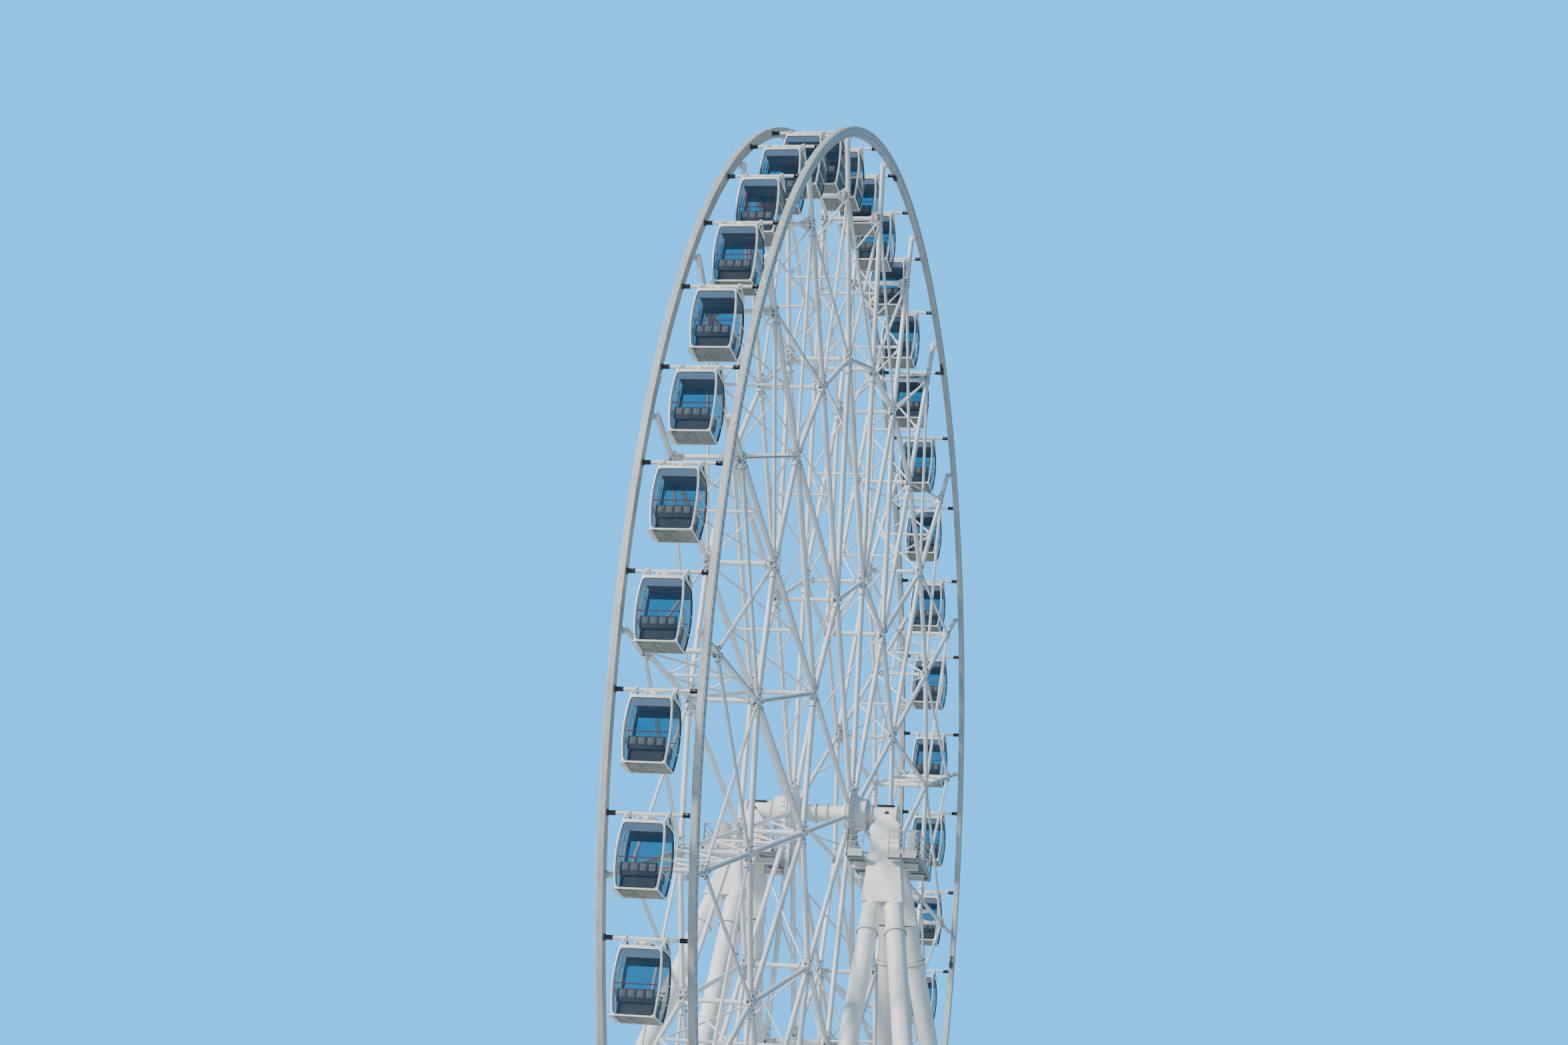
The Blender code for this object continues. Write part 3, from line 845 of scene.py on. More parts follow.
@dataclass
class Rim:
    """One of the two rims: butted lengths of box beam with a ladder of lamps outside."""

    side: Side
    inner_face: float = 0.689
    width: float = 0.104
    depth: float = 0.206
    lengths: int = 33
    facets: int = 4
    edge: float = 0.006
    rungs: int = 42
    rung: float = 0.018
    rail: float = 0.014
    lamp_depth: float = 0.010
    plate: tuple[float, float, float] = (0.085, 0.074, 0.008)
    bolt: float = 0.007

    def arc_block(
        self, bench: Bench, middle: float, depth: float, low_y: float, high_y: float,
        facets: int, bevel: float,
    ) -> None:
        """Adds a curved length of beam by extruding its section round the hub.

        Args:
            bench: the piece under work.
            middle: radius of its middle line.
            depth: its radial size.
            low_y: its face nearer the wheel's mid plane.
            high_y: its face further out.
            facets: straight parts of its curve.
            bevel: width of the bevel on its edges.
        """
        span = CABINS / self.lengths
        step = span / facets
        start = on_wheel(middle, -span / 2, (low_y + high_y) / 2)
        bpy.ops.mesh.select_all(action="DESELECT")
        bpy.ops.mesh.primitive_plane_add(
            size=1, location=start,
            rotation=(0.0, math.pi / 2 - span / 2 * math.tau / CABINS, 0.0),
        )
        bpy.ops.object.material_slot_assign()
        corners = [corner for corner in bench.cage().verts if corner.select]
        radial = (start - HUB - AXLE * start.y).normalized()
        for corner in corners:
            offset = corner.co - start
            corner.co = (
                start + radial * math.copysign(depth / 2, offset.dot(radial))
                + AXLE * math.copysign((high_y - low_y) / 2, offset.y)
            )
        bmesh.update_edit_mesh(bench.piece.data)
        bpy.ops.mesh.spin(
            steps=facets, angle=step * facets * math.tau / CABINS, center=HUB, axis=-AXLE
        )
        bpy.ops.mesh.select_linked()
        if bevel:
            bpy.ops.mesh.edges_select_sharp(sharpness=math.radians(60))
            bpy.ops.mesh.bevel(offset=bevel, segments=1, affect="EDGES")

    def length(self) -> bpy.types.Object:
        """Models one length of the right rim, centred on the top.

        Returns:
            The length with its ladder, joint plates and bolts.
        """
        bench = Bench(
            "rim_length", FINISH.rim, FINISH.strip, FINISH.bulb, FINISH.lens_pale, FINISH.bolt
        )
        outer = self.inner_face + self.width
        bench.use(FINISH.rim)
        self.arc_block(
            bench, CABIN_CIRCLE, self.depth, self.inner_face, outer, self.facets, self.edge
        )
        bench.use(FINISH.strip)
        for offset in (-1.0, 0.0, 1.0):
            middle = CABIN_CIRCLE + offset * (self.depth / 2 - self.rail)
            self.arc_block(
                bench, middle, self.rail, outer - 0.002, outer + self.lamp_depth, self.facets, 0
            )
        span = CABINS / self.lengths
        half = self.depth / 2 - self.rail * 1.5
        for index in range(self.rungs):
            step = -span / 2 + span * (index + 0.5) / self.rungs
            bench.use(FINISH.lens_pale if index % 3 else FINISH.bulb)
            for low, high in ((-half, -self.rail / 2), (self.rail / 2, half)):
                start = on_wheel(CABIN_CIRCLE + low, step, outer + 0.003)
                end = on_wheel(CABIN_CIRCLE + high, step, outer + 0.003)
                bench.bar(start, end, AXLE, self.rung, self.lamp_depth)
        self.joint(bench, -span / 2)
        return bench.done()

    def joint(self, bench: Bench, step: float) -> None:
        """Adds the bolted plates across a joint, on the beam's inner and outer edges.

        Args:
            bench: the piece under work.
            step: where the joint is.
        """
        reach, wide, thick = self.plate
        for sign in (-1, 1):
            radius = CABIN_CIRCLE + sign * (self.depth / 2 - thick * 0.6)
            centre = on_wheel(radius, step, self.inner_face + self.width / 2)
            outward = (centre - HUB - AXLE * centre.y).normalized() * sign
            along = outward.cross(AXLE)
            lift = 0.0 if sign > 0 else thick * 0.5
            centre += outward * lift
            bench.use(FINISH.rim)
            bench.bar(centre - along * reach, centre + along * reach, outward, wide, thick, 0.002)
            if sign < 0:
                bench.use(FINISH.bolt)
                for away in (-0.8, -0.4, 0.4, 0.8):
                    for across in (-0.36, 0.36):
                        place = centre + along * reach * away + AXLE * wide * across
                        bench.turned(place, outward, ((0.0, self.bolt), (thick * 1.4, self.bolt)), 6)

    def build(self) -> bpy.types.Object:
        """Sets the lengths round the wheel and adds the spokes' end fittings.

        Returns:
            The whole rim.
        """
        span = CABINS / self.lengths
        ring = moved_copies(
            "rim_ring", self.length(), [turned_about_hub(span * i) for i in range(self.lengths)]
        )
        fittings = SpokeEnd().build()
        whole = joined("rim_right_beams", (ring, fittings))
        if self.side is Side.LEFT:
            other = mirrored("rim_left_beams", whole)
            bpy.data.objects.remove(whole, do_unlink=True)
            whole = other
        return fit(whole, Body.WHEEL.value, (f"rim_{self.side.word}",))


@dataclass
class SpokeEnd:
    """The fitting that joins a spoke's end to the right rim."""

    web: float = 0.603
    rim_face: float = 0.689
    radius: float = 13.60
    spigot: float = 0.036
    flange: float = 0.062
    flange_depth: float = 0.014
    every_with_box: int = 4
    box: tuple[float, float, float] = (0.055, 0.07, 0.16)

    def build(self) -> bpy.types.Object:
        """Models the fitting once, copies it round the rim and adds the junction boxes.

        Returns:
            All fittings of one rim as a loose piece.
        """
        plain = self.fitting()
        places = [turned_about_hub(0.5 + 2 * index) for index in range(SPOKES)]
        fittings = moved_copies("spoke_ends", plain, places)
        boxed = self.junction_box()
        places = [turned_about_hub(0.5 + 2 * i) for i in range(1, SPOKES, self.every_with_box)]
        boxes = moved_copies("junction_boxes", boxed, places)
        return joined("rim_fittings", (fittings, boxes))

    def fitting(self) -> bpy.types.Object:
        """Models one fitting at the top of the wheel.

        Returns:
            The spigot with its two flanges and bolts.
        """
        bench = Bench("spoke_end", FINISH.spokes, FINISH.bolt)
        bench.use(FINISH.spokes)
        start = on_wheel(self.radius, 0, self.web + 0.044)
        reach = self.rim_face - self.web - 0.044
        bench.turned(start, AXLE, (
            (0.0, self.spigot * 1.25), (0.008, self.spigot),
            (reach - self.flange_depth, self.spigot), (reach - self.flange_depth, self.flange),
            (reach + 0.001, self.flange), (reach + 0.002, self.flange * 0.97),
        ), 20)
        bench.use(FINISH.bolt)
        centre = start + AXLE * (reach - self.flange_depth)
        bench.studs(centre, AXLE, self.flange * 0.78, 8, 0.006, 0.016)
        return bench.done()

    def junction_box(self) -> bpy.types.Object:
        """Models one junction box with its clips and cable tails.

        Returns:
            The box, just inside the rim's lower edge at the top of the wheel.
        """
        bench = Bench("junction_box", FINISH.cover, FINISH.rubber, FINISH.bolt)
        wide, deep, tall = self.box
        low_y = self.rim_face + 0.012
        base = on_wheel(13.592, 0.42, low_y)
        bench.use(FINISH.cover)
        bench.block(base - Vector((tall / 2, 0, wide)), base + Vector((tall / 2, deep, 0)), 0.006)
        bench.use(FINISH.bolt)
        for end in (-1, 1):
            clip = base + Vector((end * tall * 0.36, 0, 0.001))
            bench.block(clip - Vector((0.010, 0.004, wide + 0.004)),
                        clip + Vector((0.010, deep + 0.004, 0.004)), 0.002)
        bench.use(FINISH.rubber)
        for index in range(5):
            start = base + Vector((-tall / 2 - 0.002, 0.012 + index * 0.011, -wide * 0.5))
            sag = Vector((-0.05 - 0.012 * index, 0.004 * index, -0.030 - 0.006 * index))
            end = start + Vector((-0.13, 0.0, wide * 0.5 - 0.004))
            bench.rod(start, start + sag, 0.0055, 6)
            bench.rod(start + sag, end + sag * 0.2, 0.0055, 6)
        return bench.done()


@dataclass
class SpokeWeb:
    """One flat web of round spokes, rings and braces, with lamps on its outer face."""

    side: Side
    offset: float = 0.603
    inner_ring: float = 4.77
    outer_ring: float = 9.22
    head_ring: float = 12.45
    spoke_end: float = 13.655
    hub_end: float = 0.545
    chord: float = 0.046
    brace: float = 0.026
    chord_flange: float = 0.072
    brace_flange: float = 0.046
    flange_depth: float = 0.026
    node_plate: float = 0.155
    plate_depth: float = 0.014
    strip_inset: float = 0.10
    strip: LightStrip = field(default_factory=LightStrip)

    def members(self) -> list[tuple[float, Vector, Vector, float, float]]:
        """Lists the members of one sector of two spokes at the top.

        Returns:
            Radius, two ends and the distances of the two flanges from them.
        """
        side_y = self.offset
        members = []
        for step in (0.5, 2.5):
            outer = on_wheel(self.outer_ring, step, side_y)
            after = on_wheel(self.outer_ring, step + 2, side_y)
            before = on_wheel(self.outer_ring, step - 2, side_y)
            head = on_wheel(self.head_ring, step, side_y)
            members.append((self.chord, outer, on_wheel(self.spoke_end, step, side_y), 0.22, 1.45))
            members.append((self.chord, outer, after, 0.24, 0.24))
            members.append((self.brace, head, after, 0.20, 0.26))
            members.append((self.brace, head, before, 0.20, 0.26))
        inner = on_wheel(self.inner_ring, 2.5, side_y)
        outer = on_wheel(self.outer_ring, 2.5, side_y)
        after = on_wheel(self.outer_ring, 4.5, side_y)
        before = on_wheel(self.outer_ring, 0.5, side_y)
        members.append((self.chord, on_wheel(self.hub_end, 2.5, side_y), inner, 0.10, 0.24))
        members.append((self.chord, inner, outer, 0.24, 0.24))
        members.append((self.chord, inner, on_wheel(self.inner_ring, 6.5, side_y), 0.22, 0.22))
        members.append((self.chord, inner, after, 0.26, 0.26))
        members.append((self.chord, inner, before, 0.26, 0.26))
        return members

    def sector(self) -> bpy.types.Object:
        """Models one sector of the right web.

        Returns:
            The sector as a loose piece.
        """
        bench = Bench("web_sector", FINISH.spokes, FINISH.bolt)
        for radius, start, end, near, far in self.members():
            chord = radius == self.chord
            flange = self.chord_flange if chord else self.brace_flange
            length = (end - start).length
            along = (end - start).normalized()
            bench.use(FINISH.spokes)
            bench.rod(start, end, radius, 14 if chord else 10, (
                (near, flange, self.flange_depth),
                (length - far - self.flange_depth, flange, self.flange_depth),
            ))
            bench.use(FINISH.bolt)
            for reach in (near, length - far - self.flange_depth):
                centre = start + along * (reach + self.flange_depth / 2)
                bench.studs(centre, along, (radius + flange) / 2, 8 if chord else 6, 0.0075,
                            self.flange_depth + 0.022)
        self.nodes(bench)
        parts = [bench.done()]
        for radius, start, end, _, _ in self.members():
            inset = (end - start).normalized() * self.strip_inset
            lift = AXLE * radius
            parts.append(self.strip.build(start + inset + lift, end - inset + lift, AXLE))
        return joined("web_sector", parts)

    def nodes(self, bench: Bench) -> None:
        """Adds the plates and their bolts where the sector's members meet.

        Args:
            bench: the sector under work.
        """
        low, high = self.offset - self.chord - 0.006, self.offset + self.chord * 0.55
        spots = [(self.outer_ring, 0.5, 1.0), (self.outer_ring, 2.5, 1.0),
                 (self.head_ring, 0.5, 0.72), (self.head_ring, 2.5, 0.72),
                 (self.inner_ring, 2.5, 1.0)]
        for radius, step, scale in spots:
            reach = self.node_plate * scale
            for side_y in (low, high):
                centre = on_wheel(radius, step, side_y)
                bench.use(FINISH.spokes)
                bench.turned(centre, AXLE, (
                    (0.0, reach), (self.plate_depth * 0.7, reach),
                    (self.plate_depth, reach * 0.975),
                ), 10)
            bench.use(FINISH.bolt)
            bench.studs(on_wheel(radius, step, self.offset), AXLE, reach * 0.82, 8, 0.009,
                        2 * self.chord + 0.040)
            bench.use(FINISH.spokes)
            bench.turned(on_wheel(radius, step, self.offset), AXLE, (
                (-0.06, 0.05), (0.052, 0.05), (0.058, 0.044),
            ), 16)

    def build(self) -> bpy.types.Object:
        """Copies the sector round the hub.

        Returns:
            The whole web.
        """
        places = [turned_about_hub(4 * index) for index in range(SPOKES // 2)]
        whole = moved_copies("spoke_web_right_tubes", self.sector(), places)
        if self.side is Side.LEFT:
            other = mirrored("spoke_web_left_tubes", whole)
            bpy.data.objects.remove(whole, do_unlink=True)
            whole = other
        return fit(whole, Body.WHEEL.value, (f"spoke_web_{self.side.word}",))


@dataclass
class CrossBracing:
    """The tubes and braces between the two webs, in each spoke's plane."""

    web: float = 0.603
    crossbar: float = 0.045
    strut: float = 0.028
    brace: float = 0.020
    bays: tuple[float, ...] = (12.45, 10.84, 9.22)
    inner_bays: tuple[float, ...] = (9.22, 7.0, 4.77)
    hub_bay: tuple[float, float] = (4.77, 2.4)
    gusset: float = 0.20
    gusset_depth: float = 0.012

    def sector(self) -> bpy.types.Object:
        """Models the bracing of two spokes at the top.

        Returns:
            The sector as a loose piece.
        """
        bench = Bench("bracing_sector", FINISH.spokes, FINISH.bolt)
        for step in (0.5, 2.5):
            self.crossbars(bench, step)
            self.panels(bench, step, self.bays)
        self.panels(bench, 2.5, self.inner_bays)
        top, low = self.hub_bay
        bench.use(FINISH.spokes)
        bench.rod(on_wheel(top, 2.5, -self.web + 0.05), on_wheel(low, 2.5, self.web - 0.04),
                  self.brace, 10)
        return bench.done()

    def crossbars(self, bench: Bench, step: float) -> None:
        """Adds a spoke's crossbars, with flared gussets at the head.

        Args:
            bench: the sector under work.
            step: the spoke's place round the wheel.
        """
        reach = self.web - 0.040
        rings = [self.bays[0], self.bays[-1]]
        if step > 2:
            rings.append(self.inner_bays[-1])
        for radius in rings:
            bench.use(FINISH.spokes)
            start, end = on_wheel(radius, step, -reach), on_wheel(radius, step, reach)
            length = (end - start).length
            bench.rod(start, end, self.crossbar, 14, (
                (0.11, 0.070, 0.024), (length - 0.134, 0.070, 0.024),
            ))
            bench.use(FINISH.bolt)
            for away in (0.122, length - 0.122):
                bench.studs(start + AXLE * away, AXLE, 0.058, 8, 0.0075, 0.046)
        head = self.bays[0]
        out = (on_wheel(head, step, 0) - HUB).normalized()
        for sign in (-1, 1):
            corner = on_wheel(head, step, sign * (self.web - 0.044))
            tip = corner - AXLE * sign * self.gusset
            for way in (-1, 1):
                lift = out * way * self.crossbar * 0.9
                bench.use(FINISH.spokes)
                bench.plate(
                    (corner + lift, tip + lift, corner + lift + out * way * self.gusset * 0.62),
                    out.cross(AXLE) * self.gusset_depth,
                )

    def panels(self, bench: Bench, step: float, rings: Sequence[float]) -> None:
        """Adds the crossed braces and struts between the webs.

        Args:
            bench: the sector under work.
            step: the spoke's place round the wheel.
            rings: radii of the struts, from the outside in.
        """
        reach = self.web - 0.044
        shift = on_wheel(1, step, 0) - HUB
        sideways = shift.cross(AXLE) * self.brace
        bench.use(FINISH.spokes)
        for top, low in zip(rings, rings[1:]):
            for sign in (-1, 1):
                start = on_wheel(top - 0.07, step, sign * reach) + sideways * sign
                end = on_wheel(low + 0.07, step, -sign * reach) + sideways * sign
                bench.rod(start, end, self.brace, 8)
                for spot, way in ((start, 1), (end, -1)):
                    along = (end - start).normalized() * way
                    bench.bar(spot, spot + along * 0.11, shift.cross(AXLE), 0.060, 0.012)
        for middle in rings[1:-1]:
            start, end = on_wheel(middle, step, -reach), on_wheel(middle, step, reach)
            bench.rod(start, end, self.strut, 10, (
                (0.02, 0.046, 0.018), ((end - start).length - 0.038, 0.046, 0.018),
            ))

    def build(self) -> bpy.types.Object:
        """Copies the sector round the hub.

        Returns:
            All the bracing.
        """
        places = [turned_about_hub(4 * index) for index in range(SPOKES // 2)]
        whole = moved_copies("cross_bracing", self.sector(), places)
        return fit(whole, Body.WHEEL.value, ("spoke_web_left",))


@dataclass
class Hub:
    """The turning hub: core tube, spoke flanges with brackets, and bearing drums."""

    core: float = 0.167
    web: float = 0.603
    flange: float = 0.548
    flange_depth: float = 0.10
    drum: float = 0.333
    drum_outer: float = 0.952
    drum_wall: float = 0.185
    drum_bore: float = 0.25
    ribs: int = 22
    sides: int = 64

    def core_and_drums(self, bench: Bench) -> None:
        """Adds the core with its drums, grown as one turned shape for each half.

        Args:
            bench: the hub under work.
        """
        bench.use(FINISH.hub)
        for side in Side:
            along = AXLE * side.value
            bench.turned(HUB, along, (
                (-0.001, self.core), (0.10, self.core), (0.10, self.core + 0.035),
                (0.135, self.core + 0.035), (0.135, self.core), (0.44, self.core),
                (0.53, self.core + 0.10), (self.web - 0.05, self.core + 0.14),
                (self.web - 0.05, self.flange), (self.web - 0.012, self.flange),
                (self.web - 0.012, self.flange - 0.03), (self.web + 0.012, self.flange - 0.03),
                (self.web + 0.012, self.flange), (self.web + 0.05, self.flange),
                (self.web + 0.05, self.drum + 0.06), (self.web + 0.075, self.drum + 0.055),
                (self.web + 0.085, self.drum), (self.drum_outer - 0.045, self.drum),
                (self.drum_outer - 0.045, self.drum + 0.0), (self.drum_outer - 0.012, self.drum),
                (self.drum_outer, self.drum - 0.012), (self.drum_outer, self.drum_wall + 0.075),
                (self.drum_outer - 0.014, self.drum_wall + 0.070),
                (self.drum_outer - 0.014, self.drum_wall + 0.004),
                (self.drum_outer - self.drum_bore, self.drum_wall + 0.004),
            ), self.sides)

    def fasteners(self, bench: Bench) -> None:
        """Adds the spoke brackets, ribs and bolts.

        Args:
            bench: the hub under work.
        """
        for side in Side:
            along = AXLE * side.value
            face = HUB + along * (self.web + 0.05)
            bench.use(FINISH.bolt)
            bench.studs(face, along, self.flange - 0.045, 44, 0.011, 0.026)
            bench.studs(face + along * 0.012, along, self.drum + 0.032, 32, 0.010, 0.030)
            bench.studs(HUB + along * (self.drum_outer - 0.002), along, self.drum - 0.040, 28,
                        0.010, 0.022)
            bench.studs(HUB + along * 0.1175, along, self.core + 0.018, 20, 0.008, 0.058)
            bench.use(FINISH.hub)
            for index in range(self.ribs):
                step = index * CABINS / self.ribs + 1.5
                low = on_wheel(self.drum - 0.003, step, side.value * (self.web + 0.048))
                high = on_wheel(self.flange - 0.085, step, side.value * (self.web + 0.048))
                top = on_wheel(self.drum - 0.003, step, side.value * (self.web + 0.20))
                bench.plate((low, high, top), (high - low).normalized().cross(AXLE) * 0.012)

    def build(self) -> bpy.types.Object:
        """Models the whole hub.

        Returns:
            The hub.
        """
        bench = Bench("hub_casting", FINISH.hub, FINISH.bolt)
        self.core_and_drums(bench)
        self.fasteners(bench)
        return fit(bench.done(), Body.WHEEL.value, ("hub",))


# ---- The towers


@dataclass
class Tower:
    """One tower: head, stub axle, two limbs and four legs on foot plates."""

    side: Side
    leg: float = 0.190
    leg_sides: int = 36
    leg_top: tuple[float, float] = (0.95, 2.05)
    leg_tops_y: tuple[float, float] = (1.378, 1.80)
    leg_feet: tuple[float, float, float] = (7.0, 1.42, 4.75)
    collar_drop: float = 2.70
    collar: float = 0.222
    head_inner: float = 1.10
    head_outer: float = 1.70
    head_half: float = 0.36
    axle: float = 0.180
    beam_x: float = 0.40

    def at(self, x: float, y: float, drop: float) -> Vector:
        """Finds a point of the tower.

        Args:
            x: distance in front of the axle.
            y: distance from the mid plane, on this tower's side.
            drop: distance below the hub.

        Returns:
            The point in the world.
        """
        return Vector((x, y, HUB.z - drop))

    def legs(self, bench: Bench) -> None:
        """Adds the four legs with their collars, feet and gussets.

        Args:
            bench: the tower under work.
        """
        foot_x, *feet_y = self.leg_feet
        top_x, drop = self.leg_top
        for end in (-1, 1):
            for top_y, foot_y in zip(self.leg_tops_y, feet_y):
                top = self.at(end * top_x, top_y, drop)
                foot = Vector((end * foot_x, foot_y, 0.0))
                axis = (foot - top).normalized()
                first = (self.collar_drop - drop) / -axis.z
                ground = (HUB.z - drop + 0.15) / -axis.z
                collars = [first, first + (ground - first) * 0.36, first + (ground - first) * 0.72]
                profile = [(-0.02, self.leg)]
                for reach in collars:
                    profile += [
                        (reach - 0.032, self.leg), (reach - 0.032, self.collar),
                        (reach - 0.002, self.collar), (reach - 0.002, self.collar - 0.006),
                        (reach + 0.002, self.collar - 0.006), (reach + 0.002, self.collar),
                        (reach + 0.032, self.collar), (reach + 0.032, self.leg),
                    ]
                profile.append((ground, self.leg))
                bench.use(FINISH.tower)
                bench.turned(top, axis, profile, self.leg_sides)
                bpy.ops.mesh.select_linked()
                bpy.ops.mesh.bisect(
                    plane_co=(0, 0, 0.03), plane_no=(0, 0, 1), use_fill=True, clear_inner=True
                )
                bench.use(FINISH.bolt)
                for reach in collars:
                    bench.studs(top + axis * reach, axis, self.collar - 0.014, 28, 0.009, 0.094)
                self.foot(bench, foot, axis)

    def foot(self, bench: Bench, foot: Vector, axis: Vector) -> None:
        """Adds a foot plate with gussets and anchor bolts.

        Args:
            bench: the tower under work.
            foot: where the leg meets the ground.
            axis: the leg's direction, downwards.
        """
        half, thick = 0.45, 0.08
        bench.use(FINISH.tower)
        bench.block(foot - Vector((half, half, 0)), foot + Vector((half, half, thick)), 0.012, 2)
        up = -axis
        for turn in range(8):
            angle = math.tau * turn / 8 + math.pi / 8
            out = Vector((math.cos(angle), math.sin(angle), 0))
            base = foot + Vector((0, 0, thick - 0.004)) + up * thick
            near = base + out * (self.leg - 0.03)
            bench.plate(
                (near, foot + Vector((0, 0, thick - 0.004)) + out * 0.40, near + up * 0.34),
                out.cross(Vector((0, 0, 1))) * 0.024,
            )
        bench.use(FINISH.bolt)
        for x in (-0.36, -0.12, 0.12, 0.36):
            for y in (-0.36, -0.12, 0.12, 0.36):
                if max(abs(x), abs(y)) > 0.3:
                    spot = foot + Vector((x, y, thick))
                    bench.turned(spot, Vector((0, 0, 1)), (
                        (-0.01, 0.034), (0.008, 0.034), (0.008, 0.024), (0.030, 0.024),
                        (0.030, 0.013), (0.062, 0.012),
                    ), 8)

    def limbs(self, bench: Bench) -> None:
        """Adds the two limbs, each from the head's joint to a pair of legs.

        Args:
            bench: the tower under work.
        """
        top_drop, low_drop = 0.56, self.leg_top[1]
        bench.use(FINISH.tower)
        for end in (-1, 1):
            low_x, high_x = sorted((end * 0.022, end * 0.338))
            middle_x = (low_x + high_x) / 2
            bpy.ops.mesh.select_all(action="DESELECT")
            bpy.ops.mesh.primitive_cube_add(
                size=1, location=self.at(middle_x, 1.40, (top_drop + low_drop) / 2),
                scale=(high_x - low_x, 0.556, low_drop - top_drop),
            )
            bpy.ops.object.material_slot_assign()
            bench.keep_selected(lambda face: face.normal.z < -0.9)
            old = self.at(middle_x, 1.40, low_drop)
            new = self.at(end * self.leg_top[0], sum(self.leg_tops_y) / 2, low_drop)
            bpy.ops.transform.translate(value=new - old)
            bpy.ops.transform.resize(value=(0.400 / 0.316, 0.815 / 0.556, 1), center_override=new)
            bpy.ops.mesh.select_linked()
            cage = bench.cage()
            for edge in cage.edges:
                run = edge.verts[0].co - edge.verts[1].co
                edge.select_set(edge.select and abs(run.z) > 0.5)
            bmesh.update_edit_mesh(bench.piece.data)
            bpy.ops.mesh.bevel(offset=0.125, segments=6, affect="EDGES")
            seam = self.at(end * (self.leg_top[0] - 0.012), sum(self.leg_tops_y) / 2, low_drop - 0.03)
            for top_y in self.leg_tops_y:
                spot = Vector((seam.x, top_y, seam.z))
                foot_y = self.leg_feet[1 if top_y == self.leg_tops_y[0] else 2]
                foot = Vector((end * self.leg_feet[0], foot_y, 0.0))
                axis = (foot - self.at(end * self.leg_top[0], top_y, low_drop)).normalized()
                bench.turned(spot, axis, (
                    (0.0, self.leg + 0.003), (0.02, self.leg + 0.005), (0.045, self.leg + 0.005),
                    (0.055, self.leg - 0.001),
                ), self.leg_sides)

    def head(self, bench: Bench) -> None:
        """Adds the head: cradle, neck with its bolted joint, ribs and the stub axle.

        Args:
            bench: the tower under work.
        """
        middle = (self.head_inner + self.head_outer) / 2
        bench.use(FINISH.tower)
        bench.block(self.at(-0.355, 1.105, 0.555), self.at(0.355, 1.695, 0.27), 0.03, 3)
        bench.block(self.at(-0.365, 1.090, 0.60), self.at(0.365, 1.710, 0.545), 0.008)
        bpy.ops.mesh.select_all(action="DESELECT")
        bpy.ops.mesh.primitive_cube_add(
            size=1, location=self.at(0, middle, 0.135), scale=(0.70, 0.58, 0.29)
        )
        bpy.ops.object.material_slot_assign()
        bench.keep_selected(lambda face: face.normal.z > 0.9)
        bpy.ops.transform.resize(value=(0.52, 0.20, 1), center_override=self.at(0, middle, -0.01))
        bpy.ops.mesh.select_linked()
        bpy.ops.mesh.bevel(offset=0.012, segments=2, affect="EDGES")
        for end in (-1, 1):
            for reach_y in (1.16, 1.40, 1.64):
                near = 0.05 if reach_y == 1.40 else 0.02
                top = self.at(end * 0.17, middle + (reach_y - middle) * 0.35, 0.02)
                low = self.at(end * 0.352, reach_y, 0.28)
                foot = self.at(end * 0.18, reach_y, 0.28)
                bench.plate((top, low, foot), Vector((0, near, 0)))
        outer = 1.60
        bench.turned(HUB, AXLE, (
            (0.7035, self.axle - 0.012), (0.715, self.axle), (1.02, self.axle),
            (1.02, self.axle + 0.035), (1.065, self.axle + 0.035), (1.065, self.axle),
            (outer - 0.075, self.axle), (outer - 0.075, self.axle + 0.03),
            (outer - 0.03, self.axle + 0.03), (outer - 0.03, self.axle),
            (outer - 0.006, self.axle), (outer, self.axle - 0.01), (outer, self.axle - 0.05),
            (outer - 0.02, self.axle - 0.055), (outer - 0.02, 0.05), (outer - 0.005, 0.045),
            (outer - 0.005, 0.02),
        ), 48)
        bench.use(FINISH.bolt)
        bench.studs(HUB + AXLE * (outer - 0.052), AXLE, self.axle + 0.017, 20, 0.008, 0.062)
        bench.studs(HUB + AXLE * 1.042, AXLE, self.axle + 0.020, 20, 0.008, 0.062)
        for x in (-0.30, -0.15, 0.0, 0.15, 0.30):
            for y in (1.125, 1.675):
                bench.turned(self.at(x, y, 0.545), Vector((0, 0, 1)), (
                    (-0.07, 0.012), (0.012, 0.012), (0.018, 0.008)), 6)
        for x in (-0.345, 0.345):
            for y in (1.20, 1.33, 1.47, 1.60):
                bench.turned(self.at(x, y, 0.545), Vector((0, 0, 1)), (
                    (-0.07, 0.012), (0.012, 0.012), (0.018, 0.008)), 6)
        bench.use(FINISH.cover)
        bench.block(self.at(-0.11, 1.14, -0.165), self.at(0.11, 1.50, -0.205), 0.014, 2)
        for end in (-1, 1):
            bench.turned(self.at(end * 0.155, 1.37, 0.0), Vector((end, 0, 0)), (
                (0.0, 0.050), (0.035, 0.050), (0.045, 0.040), (0.045, 0.020), (0.052, 0.015),
            ), 20)

    def beams(self, bench: Bench) -> None:
        """Adds the channel beams through the limbs that carry the service decks.

        Args:
            bench: the tower under work.
        """
        bench.use(FINISH.tower)
        top = 1.01 + 0.0803
        for end in (-1, 1):
            middle = end * self.beam_x
            for low, high, half in ((top, top + 0.014, 0.04), (top + 0.012, top + 0.108, 0.010),
                                    (top + 0.106, top + 0.12, 0.04)):
                bench.block(self.at(middle - half, 0.80, high), self.at(middle + half, 2.13, low))

